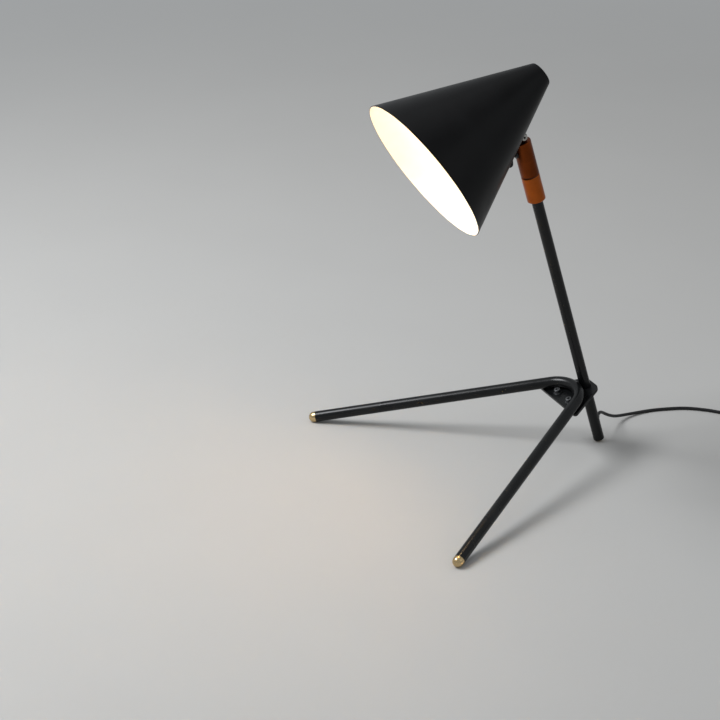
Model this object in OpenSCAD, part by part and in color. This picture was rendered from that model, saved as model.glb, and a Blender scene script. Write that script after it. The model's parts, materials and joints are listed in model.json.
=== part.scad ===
// Table lamp: a leaning pole and a bent tube stand on three brass feet, and a brass
// knuckle at the top of the pole turns and tilts a conical shade.
// Millimetres. +Z is up, +X is the way the lamp leans and shines, and the origin is the
// point where the foot of the pole stands on the table.

/* [Stand] */
// Outside diameter of the pole and of the leg tube
tube_d = 12; // [11:0.5:14]
// Wall of the pole and of the leg tube
tube_wall = 1.2; // [1:0.1:1.6]
// Forward lean of the pole
pole_lean = 16.8; // [14:0.2:20]
// Height of the leg plane, measured up the pole from the middle of its foot dome
hub_rise = 76.5; // [70:0.5:85]
// Fall of the two front legs
leg_fall = 16.4; // [14:0.2:19]
// Angle between the two front legs
leg_angle = 66.5; // [56:0.5:76]
// Centreline radius of the bend that joins the two front legs
bend_r = 33; // [30:1:38]
// Length of brass that shows between a leg tube and its dome
tip_show = 2.5; // [1:0.5:5]
// Depth of the flat under each foot
foot_flat = 0.25; // [0.1:0.05:0.5]

/* [Hub plate] */
// Thickness of the hub plate
plate_t = 3; // [2:0.5:4]
// Distance from the pole to the front edge of the plate
plate_front = 37; // [35:0.5:45]
// Width of the plate at its front edge
plate_front_w = 76.5; // [70:0.5:90]
// Radius of the front corners of the plate
plate_front_r = 3; // [2:0.5:8]
// Distance from the pole to the rear edge of the plate
plate_rear = 10; // [9.5:0.5:14]
// Width of the plate at the pole
plate_rear_w = 35.5; // [33:0.5:44]
// Radius of the rear corners of the plate
plate_rear_r = 11; // [8:0.5:12]
// Thickness of the pole flange under the plate
flange_t = 3; // [2:0.5:4]
// Distance from the pole to the hub screws
screw_front = 28; // [26:0.5:30]
// Distance between the hub screws
screw_pitch = 25; // [22:0.5:27]
// Thread diameter of the hub screws
screw_d = 4; // [3:0.5:5]

/* [Knuckle] */
// Outside diameter of the brass knuckle
knuckle_d = 19.5; // [18.5:0.5:22]
// Distance along the pole from its foot dome to the lower end of the sleeve
sleeve_rise = 311; // [260:1:340]
// Length of the lower brass sleeve
sleeve_len = 29.6; // [28:0.2:36]
// Depth of the pole inside the sleeve
pole_grip = 22; // [16:0.5:22]
// Length of the upper brass head
head_len = 40.3; // [38:0.1:48]
// Diameter of the hollow spindle that the head turns on
spindle_d = 10; // [9:0.5:10.5]
// Thickness of the friction washer in the seam
seam_t = 0.5; // [0.4:0.1:1]
// Turn of the head and shade to the left of the stand
head_turn = 2; // [-20:1:20]

/* [Hinge] */
// Height of the hinge pin above the brass head
hinge_rise = 5; // [5:0.1:7]
// Distance of the hinge pin behind the axis of the pole
hinge_back = 1.5; // [0:0.5:2]
// Distance of the hinge pin from the shade
hinge_stand = 6.4; // [6.4:0.1:8]
// Distance from the narrow end of the shade to the hinge, along its side
hinge_along = 59.6; // [50:0.2:70]
// Diameter of the hinge pin
pin_d = 4; // [3:0.5:4.5]
// Thickness of the hinge tongue
tongue_t = 4.6; // [4:0.2:5.4]
// Thickness of each bracket ear
ear_t = 1.6; // [1.2:0.2:2]
// Thickness of the bracket plate on the shade
base_t = 1.2; // [1:0.1:1.4]
// Length of the bracket plate
base_len = 24; // [22:1:26]
// Width of the bracket plate
base_w = 13; // [12:0.5:16]

/* [Shade] */
// Length of the shade from its narrow end to the rim
shade_len = 158.5; // [150:1:180]
// Outside diameter of the rim
rim_d = 167.5; // [156:1:180]
// Outside diameter of the narrow end
end_d = 25.8; // [25:0.5:30]
// Wall of the shade
shade_wall = 1; // [0.8:0.1:1.3]
// Dip of the shade below the horizontal
shade_dip = 31.5; // [28:0.5:40]
// Rise of the domed end cap
cap_dome = 0.7; // [0.4:0.1:1.5]
// Depth of the seat for the lampholder nut under the end cap
seat_depth = 6; // [5.5:0.5:8]

/* [Bulb and lampholder] */
// Diameter of the bulb
bulb_d = 45; // [40:1:50]
// Length of the bulb's glass
bulb_len = 56; // [52:1:64]
// Outside diameter of the lampholder
holder_d = 27; // [24.5:0.5:28]
// Length of the lampholder
holder_len = 46; // [44:1:50]

/* [Cord] */
// Diameter of the cord
cord_d = 3.6; // [3.2:0.1:3.7]
// Height of the cord's hole, measured up the pole
cord_rise = 19; // [17:1:24]
// Turn of the cord's hole round the pole, from the front
cord_turn = 226; // [218:1:234]
// Length of the snout on the pole grommet
snout_len = 5.5; // [4:0.5:8]
// Turns in each layer of the coil
coil_turns = 2.875; // [2.375:0.25:3.375]
// Layers in the coil
coil_layers = 4; // [2:2:4]
// Mean radius of the coil
coil_r = 20.3; // [20:0.5:24]
// Width of the tie round the coil
tie_w = 8; // [6:1:12]

/* [Cord switch and plug] */
// Length of the cord switch
switch_len = 56; // [50:1:64]
// Width of the cord switch
switch_w = 21; // [19:1:26]
// Height of the cord switch
switch_h = 15; // [14:0.5:17]
// Length of the rocker
rocker_len = 19; // [17:1:22]
// Width of the rocker
rocker_w = 9; // [8:0.5:11]
// Tilt of the rocker to each side
rocker_tilt = 8; // [6:1:10]
// Width of the plug across its pins
plug_w = 35; // [34:1:38]
// Thickness of the plug
plug_t = 14; // [13:0.5:16]
// Length of the plug body without its tail
plug_len = 34; // [32:1:40]
// Diameter of the plug's pins
plug_pin_d = 4; // [4:0.1:4.8]
// Distance between the plug's pins
plug_pitch = 19; // [18:0.5:20]

/* [Hidden] */
$fn = 64;

// Clearances between pieces
fit = 0.05;    // a pin or spindle in its bore, and a plug in its tube
seat = 0.2;    // a piece that rests on another without a fit
gap = 0.3;     // pieces that move past each other

// Stand
tube_r = tube_d / 2;
bore_r = tube_r - tube_wall;
foot_r = bore_r - fit;
foot_h = foot_r - foot_flat;
foot_plug = 8;
pole_start = -1.2;
pole_top = sleeve_rise + pole_grip;
hub_x = hub_rise * sin(pole_lean);
hub_z = foot_h + hub_rise * cos(pole_lean);
leg_half = leg_angle / 2;
bend_gap = 0.4;
bend_x = tube_d + bend_gap + bend_r;
tangent_x = bend_x - bend_r * sin(leg_half);
tangent_y = bend_r * cos(leg_half);
tip_r = tube_r;
tip_plug = 10;
tip_reach = (hub_z - tip_r + foot_flat) / sin(leg_fall);
leg_len = (tip_reach - tangent_x) / cos(leg_half);
bend_lap = 2;

// Hub, with heights above the leg plane
plate_top = -tube_r - seat;
plate_low = plate_top - plate_t;
flange_low = plate_low - flange_t;
hole_fit = 0.15;
hub_washer_t = 0.8;
hub_washer_r = screw_d / 2 + 2.5;
screw_head_r = 0.875 * screw_d;
screw_bevel = 0.4;
socket_r = 0.433 * screw_d;
socket_deep = 0.55 * screw_d;
nut_h = 3.2;

// Knuckle
knuckle_r = knuckle_d / 2;
edge = 0.6;
sleeve_top = sleeve_rise + sleeve_len;
head_bottom = sleeve_top + seam_t + seat;
head_top = head_bottom + head_len;
spindle_r = spindle_d / 2;
spindle_bore = 3.3;
head_wall = 2.25;
cavity_r = knuckle_r - head_wall;
web_t = 5.2;
web_top = head_bottom + web_t;
spring_t = 0.8;
round_nut_h = 4;
nut_start = web_top + gap + spring_t;
spindle_top = nut_start + round_nut_h + 2;
cap_t = 5;
head_round = 1;
stop_ring = (spindle_r + knuckle_r) / 2;
stop_r = 0.8;
stop_rise = 2;
stop_half = 13;
grub_r = 2;
grub_rise = 8;
bush_drop = 12;
bush_hole = cord_d / 2 + 1.1;
bush_lip = 1.1;

// Hinge
pin_r = pin_d / 2;
pin_rise = head_top + hinge_rise;
eye_r = 3.9;
ear_r = 4.2;
washer_t = 0.4;
side = 0.1;
ear_in = tongue_t / 2 + washer_t + 2 * side;
ear_out = ear_in + ear_t;
pin_head_r = 3.3;
pin_head_h = 2.2;
pin_recess = 1.2;
pin_nut_h = 2.4;
pin_nut_r = 4;
rivet_r = 1.5;
rivet_head = 2.6;
rivet_at = base_len / 2 - 4;

// Shade, in its own frame: z runs from the narrow end to the rim, x points at the knuckle
end_r = end_d / 2;
rim_r = rim_d / 2;
flare = atan((rim_r - end_r) / shade_len);
skin = shade_wall / cos(flare);
pin_x = end_r + hinge_along * sin(flare) + hinge_stand * cos(flare);
pin_z = hinge_along * cos(flare) - hinge_stand * sin(flare);
lid_t = 1.6;
lid_skirt = 3.4;
entry_along = 26;
entry_hole = cord_d / 2 + 1.2;
shelf_t = 1.2;
nipple_r = 5;
nipple_bore = 3.4;
shelf_top = seat_depth + shelf_t;
nipple_low = seat_depth - 2.8;
nipple_high = shelf_top + 9;
ring_nut_r = 8;
ring_nut_h = 2.2;

// Bulb and lampholder, along the shade's axis
holder_z = shelf_top + seat;
holder_r = holder_d / 2;
holder_split = holder_z + 13;
holder_end = holder_z + holder_len;
thread_r = 7.6;
cap_r = 6.9;
socket_floor = holder_end - 24;
cap_low = socket_floor + 3;
bulb_r = bulb_d / 2;
glass_z = holder_end - 2;
bulb_mid = glass_z + bulb_len - bulb_r;
glass_wall = 1;
neck_r = 8.2;

// Cord
cord_r = cord_d / 2;
table_gap = 0.05;
lie = cord_r + table_gap;
turn_gap = 0.5;
coil_step = cord_d + turn_gap;
tie_t = 1;
coil_lie = tie_t + gap + cord_r;
coil_out = coil_r + coil_step * coil_turns / 2;
coil_high = coil_lie + (coil_layers - 1) * coil_step;
rings = 24;

// The cord's route on the table, chosen by hand. The ends are worked out from what they meet.
route = [
    [-8.4, -14.6, 26.1], [-12, -17.4, 24.9], [-16, -19.8, 22.4], [-20.5, -21.8, 19.1],
    [-26, -24, 15.4], [-32, -26.4, 12], [-39, -29.2, 8.8], [-47, -32.2, 6.3], [-56, -34.8, 4.4],
    [-66, -36.4, 3], [-76, -37, 2.2], [-86, -36.6, lie], [-96, -35, lie],
    [-106, -32.4, lie], [-116, -29.4, lie], [-125, -26, lie], [-134, -21, lie],
    [-142, -15, lie], [-150, -8, lie], [-157, -0.5, lie], [-163, 6.4, lie], [-169, 13.2, 3.2]
];

// Switch and plug
switch_at = [-198, 46.5, 0];
switch_heading = 131;
inlet_h = 6;
switch_split = inlet_h;
switch_wall = 1.8;
window_gap = 0.7;
axle_r = 1.2;
rocker_slant = 1.4;
axle_h = 10;
coil_lead_in = 14;
run_way = [cos(switch_heading), sin(switch_heading)];
run_side = [sin(switch_heading), -cos(switch_heading)];
coil_start = [switch_at.x, switch_at.y] + (switch_len / 2 + coil_lead_in) * run_way;
coil_mid = coil_start - coil_out * run_side;
coil_total = coil_layers * coil_turns;
coil_end_turn = switch_heading - 90 + 360 * coil_total;
end_out = [cos(coil_end_turn), sin(coil_end_turn)];
end_way = [-end_out.y, end_out.x];
plug_lead = 24;
plug_tail = 24;
plug_h = plug_t / 2 + 0.05;
plug_at = coil_mid + coil_out * end_out + plug_lead * end_way;
plug_heading = coil_end_turn + 90;
plug_pin_len = 19;

// Helper functions

function unit(v) = v / norm(v);

// Direction of a path at its point i
function heading(path, i) =
    unit(path[min(i + 1, len(path) - 1)] - path[max(i - 1, 0)]);

// A ring of points square to the direction t, in planes set by the reference direction ref
function ring(p, t, ref, r, sides) =
    let (s = unit(cross(t, ref)), u = cross(s, t))
    [for (k = [0:sides - 1]) p + r * (cos(360 * k / sides) * s + sin(360 * k / sides) * u)];

// A closed tube swept along a path
module sweep(path, ref, r, sides) {
    n = len(path);
    points = [for (i = [0:n - 1]) each ring(path[i], heading(path, i), ref, r, sides)];
    walls = [
        for (i = [0:n - 2], k = [0:sides - 1])
            let (a = i * sides + k, b = i * sides + (k + 1) % sides)
            each [[a, b, b + sides], [a, b + sides, a + sides]]
    ];
    last = (n - 1) * sides;
    start = [for (k = [1:sides - 2]) [0, k + 1, k]];
    end = [for (k = [1:sides - 2]) [last, last + k, last + k + 1]];
    polyhedron(points, concat(start, walls, end));
}

// Two points where the outer tangent touches circles a and b, each [x, y, r]
function tangent(a, b) =
    let (w = leaving(a, b), n = [cos(w), sin(w)])
    [[a.x, a.y] + a.z * n, [b.x, b.y] + b.z * n];

// Outline wrapped round circles that are given anticlockwise
module wrap(circles) {
    n = len(circles);
    for (c = circles) translate([c.x, c.y]) circle(c.z);
    polygon([for (i = [0:n - 1]) each tangent(circles[i], circles[(i + 1) % n])]);
}

// Direction of the outer normal where the tangent leaves circle a for circle b
function leaving(a, b) = atan2(b.y - a.y, b.x - a.x) - acos((a.z - b.z) / norm([b.x - a.x, b.y - a.y]));

// The same outline as points, for moulded shapes that are cut by others
function outline(circles, steps = 6) =
    let (n = len(circles))
    [
        for (i = [0:n - 1])
            let (
                c = circles[i],
                from = leaving(circles[(i + n - 1) % n], c),
                turn = leaving(c, circles[(i + 1) % n]) - from,
                sweep = turn - 360 * floor(turn / 360)
            )
            for (k = [0:steps])
                [c.x, c.y] + c.z * [cos(from + sweep * k / steps), sin(from + sweep * k / steps)]
    ];

// Points on an arc from angle a to angle b
function arc(c, r, a, b, steps) =
    [for (k = [0:steps]) c + r * [cos(a + (b - a) * k / steps), sin(a + (b - a) * k / steps)]];

module tube(r_out, r_in, h) {
    linear_extrude(h) difference() {
        circle(r_out);
        circle(r_in);
    }
}

module hex_nut(r, hole, h) {
    difference() {
        cylinder(r = r, h = h, $fn = 6);
        translate([0, 0, -1]) cylinder(r = hole, h = h + 2);
    }
}

// Round head of a screw or rivet: a slice of a ball
module round_head(r, h) {
    ball = (r * r + h * h) / (2 * h);
    intersection() {
        translate([0, 0, h - ball]) sphere(r = ball);
        cylinder(r = r, h = h);
    }
}

module above_table() {
    intersection() {
        children();
        translate([-100, -300, 0]) cube([500, 600, 200]);
    }
}

// Frames. Each puts its children at a working place on the lamp.

module on_pole(s = 0) {
    translate([0, 0, foot_h]) rotate([0, pole_lean, 0]) translate([0, 0, s]) children();
}

module on_legs() {
    translate([hub_x, 0, hub_z]) rotate([0, leg_fall, 0]) children();
}

module on_head(s = 0) {
    on_pole() rotate([0, 0, head_turn]) translate([0, 0, s]) children();
}

module at_pin() {
    on_head(pin_rise) translate([-hinge_back, 0, 0]) children();
}

module on_shade() {
    at_pin() rotate([0, 90 + shade_dip - pole_lean, 0]) translate([-pin_x, 0, -pin_z]) children();
}

// On the side of the shade that faces the knuckle: x points away from the shade, z to the rim
module on_side(along) {
    on_shade()
        translate([end_r + along * sin(flare), 0, along * cos(flare)])
            rotate([0, flare, 0]) children();
}

module at_cord_hole() {
    on_pole(cord_rise) rotate([0, 0, cord_turn]) rotate([0, 90, 0]) children();
}

module at_hub_screws(h) {
    on_legs() for (y = [-1, 1]) translate([screw_front, y * screw_pitch / 2, h]) children();
}

module at_leg(y, along) {
    on_legs()
        translate([tangent_x, y * tangent_y, 0])
            rotate([0, 0, y * leg_half]) translate([along, 0, 0]) rotate([0, 90, 0]) children();
}

module at_switch() {
    translate(switch_at) rotate([0, 0, switch_heading]) children();
}

module at_plug() {
    translate([plug_at.x, plug_at.y, plug_h]) rotate([0, 0, plug_heading]) children();
}

// The same frames as functions, for points that a path or a joint needs

function lean_point(p) = [
    p.x * cos(pole_lean) + p.z * sin(pole_lean),
    p.y,
    p.z * cos(pole_lean) - p.x * sin(pole_lean)
];
function pole_point(p) = lean_point(p) + [0, 0, foot_h];
function turned(p, a) = [p.x * cos(a) - p.y * sin(a), p.x * sin(a) + p.y * cos(a), p.z];
function head_point(p) = pole_point(turned(p, head_turn));
function shade_tilt(p) =
    let (a = 90 + shade_dip - pole_lean)
    [p.x * cos(a) + p.z * sin(a), p.y, p.z * cos(a) - p.x * sin(a)];
function shade_point(p) =
    head_point(shade_tilt(p - [pin_x, 0, pin_z]) + [-hinge_back, 0, pin_rise]);

cord_out = [cos(cord_turn), sin(cord_turn), 0];
snout_end = tube_r + 1 + snout_len;
head_side = lean_point(turned([0, 1, 0], head_turn));
cord_start = pole_point(snout_end * cord_out + [0, 0, cord_rise]);
cord_way = lean_point(cord_out);

// Stand

module pole_tube() {
    color("#17181a") difference() {
        on_pole(pole_start) tube(tube_r, bore_r, pole_top - pole_start);
        at_cord_hole() cylinder(r = cord_r + 1, h = tube_d);
    }
}

module pole_foot() {
    color("#b8935a") above_table() on_pole() {
        sphere(r = foot_r);
        cylinder(r = foot_r, h = foot_plug);
    }
}

// Rubber grommet: a lip that fits the pole and a snout that tapers along the cord
module cord_grommet() {
    lip = cord_r + 2;
    color("#1b1b1c") difference() {
        at_cord_hole() union() {
            translate([0, 0, bore_r - 0.6]) cylinder(r = cord_r + 1 - fit, h = tube_wall + 1);
            translate([0, 0, bore_r]) difference() {
                cylinder(r = lip, h = tube_r + 1 - bore_r);
                cylinder(r = cord_r + 0.8, h = tube_r - bore_r);
            }
            translate([0, 0, tube_r + 0.5]) cylinder(r1 = cord_r + 1.2, r2 = cord_r + 0.6, h = snout_len + 0.5);
        }
        difference() {
            on_pole(cord_rise - 10) cylinder(r = tube_r + fit, h = 20);
            at_cord_hole() cylinder(r = cord_r + 1 - fit, h = tube_d);
        }
        at_cord_hole() cylinder(r = cord_r + fit, h = 3 * tube_d);
    }
}

// Flexible lead inside the pole, from the snout of the grommet to the top of the spindle
module pole_lead() {
    bend = bore_r;
    c = [2, cord_rise + bend];
    turn = arc(c, bend, -90, -180, 6);
    path = concat(
        [[snout_end, cord_rise]],
        turn,
        [[c.x - bend + 0.6, c.y + 14], [0, c.y + 34], [0, pole_top], [0, spindle_top - 3], [0, spindle_top]]
    );
    color("#202022") sweep(
        [for (p = path) pole_point(p.x * cord_out + [0, 0, p.y])],
        lean_point([-cord_out.y, cord_out.x, 0]), cord_r, 8
    );
}

// One tube: two straight legs and the bend between them, as two mirrored halves
module half_leg() {
    difference() {
        translate([bend_x, 0, 0]) rotate([0, 0, 90 + leg_half]) {
            rotate_extrude(angle = 90 - leg_half + bend_lap) translate([bend_r, 0]) difference() {
                circle(tube_r);
                circle(bore_r);
            }
            translate([bend_r, 0, 0]) rotate([90, 0, 0]) tube(tube_r, bore_r, leg_len - tip_show);
        }
        translate([0, -tube_d, -tube_d]) cube([2 * tube_d, tube_d, 2 * tube_d]);
    }
}

module leg_frame() {
    color("#17181a") on_legs() {
        half_leg();
        mirror([0, 1, 0]) half_leg();
    }
}

module leg_tips() {
    color("#b8935a") above_table() for (y = [-1, 1]) {
        at_leg(y, leg_len) intersection() {
            sphere(r = tip_r);
            translate([0, 0, -1]) cylinder(r = 2 * tip_r, h = 4 * tip_r);
        }
        at_leg(y, leg_len - tip_show + fit) cylinder(r = tip_r, h = tip_show - fit);
        at_leg(y, leg_len - tip_show - tip_plug) cylinder(r = bore_r - fit, h = tip_plug + 1);
    }
}

// Room for the pole, which leans a little more than the legs fall
module pole_room() {
    rotate([0, pole_lean - leg_fall, 0]) cylinder(r = tube_r + hole_fit, h = 60, center = true);
}

module screw_room() {
    for (y = [-1, 1])
        translate([screw_front, y * screw_pitch / 2, flange_low - 1])
            cylinder(r = screw_d / 2 + hole_fit, h = plate_t + flange_t + 2);
}

module hub_plate() {
    front_y = plate_front_w / 2 - plate_front_r;
    rear_y = plate_rear_w / 2 - plate_rear_r;
    color("#1b1c1f") on_legs() difference() {
        translate([0, 0, plate_low]) linear_extrude(plate_t) wrap([
            [plate_rear_r - plate_rear, -rear_y, plate_rear_r],
            [plate_front - plate_front_r, -front_y, plate_front_r],
            [plate_front - plate_front_r, front_y, plate_front_r],
            [plate_rear_r - plate_rear, rear_y, plate_rear_r]
        ]);
        pole_room();
        screw_room();
    }
}

module pole_flange() {
    color("#1b1c1f") on_legs() difference() {
        translate([0, 0, flange_low]) linear_extrude(flange_t) wrap([
            [0, 0, tube_r + 3.5],
            [screw_front, -screw_pitch / 2, screw_d / 2 + 4],
            [screw_front, screw_pitch / 2, screw_d / 2 + 4]
        ]);
        pole_room();
        screw_room();
    }
}

module hub_washers() {
    color("#8f9296") at_hub_screws(plate_top) tube(hub_washer_r, screw_d / 2 + hole_fit, hub_washer_t);
}

// Cap screws with a hexagonal socket: the head is as high as the thread is wide
module hub_screws() {
    reach = plate_top + hub_washer_t - flange_low + nut_h + 1;
    color("#9a9da1") at_hub_screws(plate_top + hub_washer_t) difference() {
        rotate_extrude() polygon([
            [0, -reach], [screw_d / 2, -reach], [screw_d / 2, 0],
            [screw_head_r, 0], [screw_head_r, screw_d - screw_bevel],
            [screw_head_r - screw_bevel, screw_d], [0, screw_d]
        ]);
        translate([0, 0, screw_d - socket_deep]) cylinder(r = socket_r, h = socket_deep + 1, $fn = 6);
    }
}

module hub_nuts() {
    color("#8f9296") at_hub_screws(flange_low - nut_h) hex_nut(screw_d * 0.95, screw_d / 2 + fit, nut_h);
}

// Knuckle

module knuckle_sleeve() {
    color("#b87a45") difference() {
        on_pole(sleeve_rise) rotate_extrude() polygon([
            [tube_r + fit, 0], [knuckle_r - edge, 0], [knuckle_r, edge],
            [knuckle_r, sleeve_len - edge], [knuckle_r - edge, sleeve_len],
            [spindle_r + fit, sleeve_len], [spindle_r + fit, pole_grip + fit], [tube_r + fit, pole_grip + fit]
        ]);
        on_pole(sleeve_rise + grub_rise) rotate([0, -90, 0]) cylinder(r = grub_r + fit, h = knuckle_d);
        on_pole(sleeve_top - 6) translate([-stop_ring, 0, 0]) cylinder(r = stop_r + fit, h = 7);
    }
}

// Grub screw behind the sleeve, which clamps it on the pole
module sleeve_screw() {
    reach = knuckle_r - tube_r - 0.6;
    color("#6f7276") on_pole(sleeve_rise + grub_rise) rotate([0, -90, 0]) translate([0, 0, tube_r + fit])
        difference() {
            cylinder(r = grub_r, h = reach);
            translate([0, 0, reach - 1.2]) cylinder(r = 1, h = 2, $fn = 6);
        }
}

module swivel_spindle() {
    low = pole_top + 0.4;
    color("#9a9da1") on_pole(low) tube(spindle_r, spindle_bore, spindle_top - low);
}

module swivel_washer() {
    color("#26272a") on_pole(sleeve_top) difference() {
        tube(knuckle_r - 0.7, spindle_r + fit, seam_t);
        translate([-stop_ring, 0, -1]) cylinder(r = stop_r + fit, h = 3);
    }
}

// Pin in the sleeve that stops the head before the lead can twist
module stop_pin() {
    color("#9a9da1") on_pole(sleeve_top - 6) translate([-stop_ring, 0, 0])
        cylinder(r = stop_r, h = 6 + seam_t + seat + stop_rise - gap);
}

module spring_washer() {
    color("#8f9296") on_pole(web_top + gap) tube(cavity_r - 0.6, spindle_r + fit, spring_t);
}

module spindle_nut() {
    color("#9a9da1") on_pole(nut_start) difference() {
        tube(cavity_r - gap, spindle_r + fit, round_nut_h);
        translate([-cavity_r, -1, round_nut_h - 1.5]) cube([2 * cavity_r, 2, 2]);
    }
}

module knuckle_head() {
    color("#b0713f") difference() {
        on_head(head_bottom) rotate_extrude() polygon(concat(
            [[spindle_r + fit, 0], [knuckle_r - edge, 0], [knuckle_r, edge]],
            arc([knuckle_r - head_round, head_len - head_round], head_round, 0, 90, 4),
            [[cavity_r, head_len], [cavity_r, web_t], [spindle_r + fit, web_t]]
        ));
        on_head(head_bottom - 1) rotate([0, 0, stop_half]) rotate_extrude(angle = 360 - 2 * stop_half)
            translate([stop_ring - stop_r - gap, 0]) square([2 * (stop_r + gap), 1 + stop_rise]);
        on_head(head_top - bush_drop) rotate([0, 90, 0]) cylinder(r = bush_hole, h = knuckle_d);
    }
}

// Plug in the top of the head, with the tongue that the hinge pin passes through
module hinge_eye() {
    color("#8d6a44") difference() {
        union() {
            on_head(head_top - cap_t) cylinder(r = cavity_r - fit, h = cap_t);
            at_pin() rotate([90, 0, 0]) cylinder(r = eye_r, h = tongue_t, center = true);
            at_pin() translate([-eye_r, -tongue_t / 2, -hinge_rise - 1]) cube([2 * eye_r, tongue_t, hinge_rise + 1]);
        }
        at_pin() rotate([90, 0, 0]) cylinder(r = pin_r + fit, h = 3 * tongue_t, center = true);
    }
}

// Bush in the front of the head, where the lead comes out
module lead_bush() {
    color("#1b1b1c") difference() {
        on_head(head_top - bush_drop) rotate([0, 90, 0]) translate([0, 0, cavity_r - 0.6]) union() {
            cylinder(r = bush_hole - fit, h = head_wall + 1.2);
            translate([0, 0, 0.8]) cylinder(r = bush_hole + bush_lip, h = head_wall + 0.8);
        }
        difference() {
            on_head(head_top - bush_drop - 10) cylinder(r = knuckle_r + fit, h = 20);
            on_head(head_top - bush_drop) rotate([0, 90, 0]) cylinder(r = bush_hole - fit, h = knuckle_d);
        }
        on_head(head_top - bush_drop) rotate([0, 90, 0]) cylinder(r = cord_r + fit, h = knuckle_d);
    }
}

// The lead from the spindle, out of the bush and in a slack loop to the shade
bush_out = knuckle_r + 1.2;
bush_up = head_top - bush_drop;
bush_mouth = head_point([bush_out, 0, bush_up]);
entry_x = end_r + (hinge_along + entry_along) * sin(flare);
entry_z = (hinge_along + entry_along) * cos(flare);
entry_out = 2.4;
flex_sag = 9;
side_out = [cos(flare), 0, -sin(flare)];
entry_mouth = shade_point([entry_x, 0, entry_z] + entry_out * side_out);
module flex_lead() {
    bend = cavity_r - gap;
    inner = concat([[0, spindle_top + seat]], arc([bend, bush_up - bend], bend, 180, 90, 5));
    start = [for (p = inner) head_point([p.x, 0, p.y])];
    out = head_point([bush_out + cord_d, 0, bush_up]);
    entry_in = shade_point([entry_x, 0, entry_z] - 2 * side_out);
    entry_far = shade_point([entry_x, 0, entry_z] + (entry_out + cord_d) * side_out);
    low = min(out.z, entry_far.z) - flex_sag;
    loop = [
        out + [1.6, 0, -1.6], out + [2, 0, -4.4],
        [out.x * 0.7 + entry_far.x * 0.3, out.y, low + 0.9],
        [out.x * 0.45 + entry_far.x * 0.55, out.y, low + 0.4],
        entry_far + [-1.2, 0, -5], entry_far + [-1.8, 0, -2]
    ];
    color("#202022") sweep(
        concat(start, [bush_mouth, out], loop, [entry_far, entry_mouth, entry_in]),
        head_side, cord_r, 8
    );
}

// Hinge

module shade_cone(out, h) {
    rotate_extrude() polygon([
        [end_r + out / cos(flare), 0], [end_r + out / cos(flare) + h * tan(flare), h],
        [0, h], [0, 0]
    ]);
}

// Curved plate that lies on the shade, with two ears that carry the hinge pin
module shade_bracket() {
    bolt = 0.1;
    color("#1b1c1f") difference() {
        union() {
            intersection() {
                on_side(hinge_along) translate([-3, -base_w / 2, -base_len / 2]) cube([6, base_w, base_len]);
                on_shade() difference() {
                    shade_cone(fit + base_t, shade_len);
                    translate([0, 0, -1]) shade_cone(fit - tan(flare), shade_len + 2);
                }
            }
            for (y = [-1, 1]) on_side(hinge_along)
                translate([0.6, y * (ear_in + ear_t / 2), 0]) {
                    translate([0, -ear_t / 2, -ear_r]) cube([hinge_stand - 0.6, ear_t, 2 * ear_r]);
                    translate([hinge_stand - 0.6, 0, 0]) rotate([90, 0, 0])
                        cylinder(r = ear_r, h = ear_t, center = true);
                }
        }
        at_pin() rotate([90, 0, 0]) cylinder(r = pin_r + fit, h = 60, center = true);
        for (z = [-1, 1]) on_side(hinge_along) translate([-5, 0, z * rivet_at]) rotate([0, 90, 0])
            cylinder(r = rivet_r + bolt, h = 12);
    }
}

module bracket_rivets() {
    color("#202124") for (z = [-1, 1]) on_side(hinge_along) translate([0, 0, z * rivet_at]) rotate([0, 90, 0]) {
        translate([0, 0, base_t + 2 * fit]) round_head(rivet_head, 1.3);
        translate([0, 0, -shade_wall - 0.4]) cylinder(r = rivet_r, h = shade_wall + base_t + 1);
        translate([0, 0, -shade_wall - 0.8]) mirror([0, 0, 1]) round_head(rivet_head, 0.9);
        translate([0, 0, -shade_wall - 0.85]) cylinder(r = rivet_r, h = 1);
    }
}

module hinge_screw() {
    color("#a9acb0") at_pin() rotate([-90, 0, 0]) difference() {
        union() {
            translate([0, 0, -ear_out - pin_nut_h - 0.6]) cylinder(r = pin_r, h = 2 * ear_out + pin_nut_h + 1);
            translate([0, 0, ear_out + fit]) cylinder(r = pin_head_r, h = pin_head_h);
        }
        translate([0, 0, ear_out + fit + pin_head_h - pin_recess]) cylinder(r = 1.15, h = 2);
    }
}

module hinge_nut() {
    color("#a9acb0") at_pin() rotate([90, 0, 0]) translate([0, 0, ear_out + fit])
        hex_nut(pin_nut_r, pin_r + fit, pin_nut_h);
}

module hinge_washers() {
    color("#c9b48a") for (y = [-1, 1]) at_pin() rotate([y * 90, 0, 0]) translate([0, 0, tongue_t / 2 + side])
        tube(ear_r - 0.3, pin_r + fit, washer_t);
}

// Shade

// Spun cone with a shelf near its narrow end for the lampholder
module shade_shell() {
    low = lid_t + 0.1;
    in_low = end_r + low * tan(flare) - skin;
    in_seat = end_r + seat_depth * tan(flare) - skin;
    in_shelf = end_r + shelf_top * tan(flare) - skin;
    color("#141416") difference() {
        on_shade() rotate_extrude($fn = 96) polygon([
            [end_r + low * tan(flare), low],
            [rim_r - 0.2, shade_len - 0.4], [rim_r - 0.4, shade_len], [rim_r - skin + 0.2, shade_len],
            [rim_r - skin, shade_len - 0.4],
            [in_shelf, shelf_top], [nipple_r + 0.15, shelf_top],
            [nipple_r + 0.15, seat_depth], [in_seat, seat_depth], [in_low, low]
        ]);
        for (z = [-1, 1]) on_side(hinge_along) translate([-5, 0, z * rivet_at]) rotate([0, 90, 0])
            cylinder(r = rivet_r + 0.1, h = 12);
        on_side(hinge_along + entry_along) translate([-6, 0, 0]) rotate([0, 90, 0])
            cylinder(r = entry_hole, h = 12);
    }
}

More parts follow.
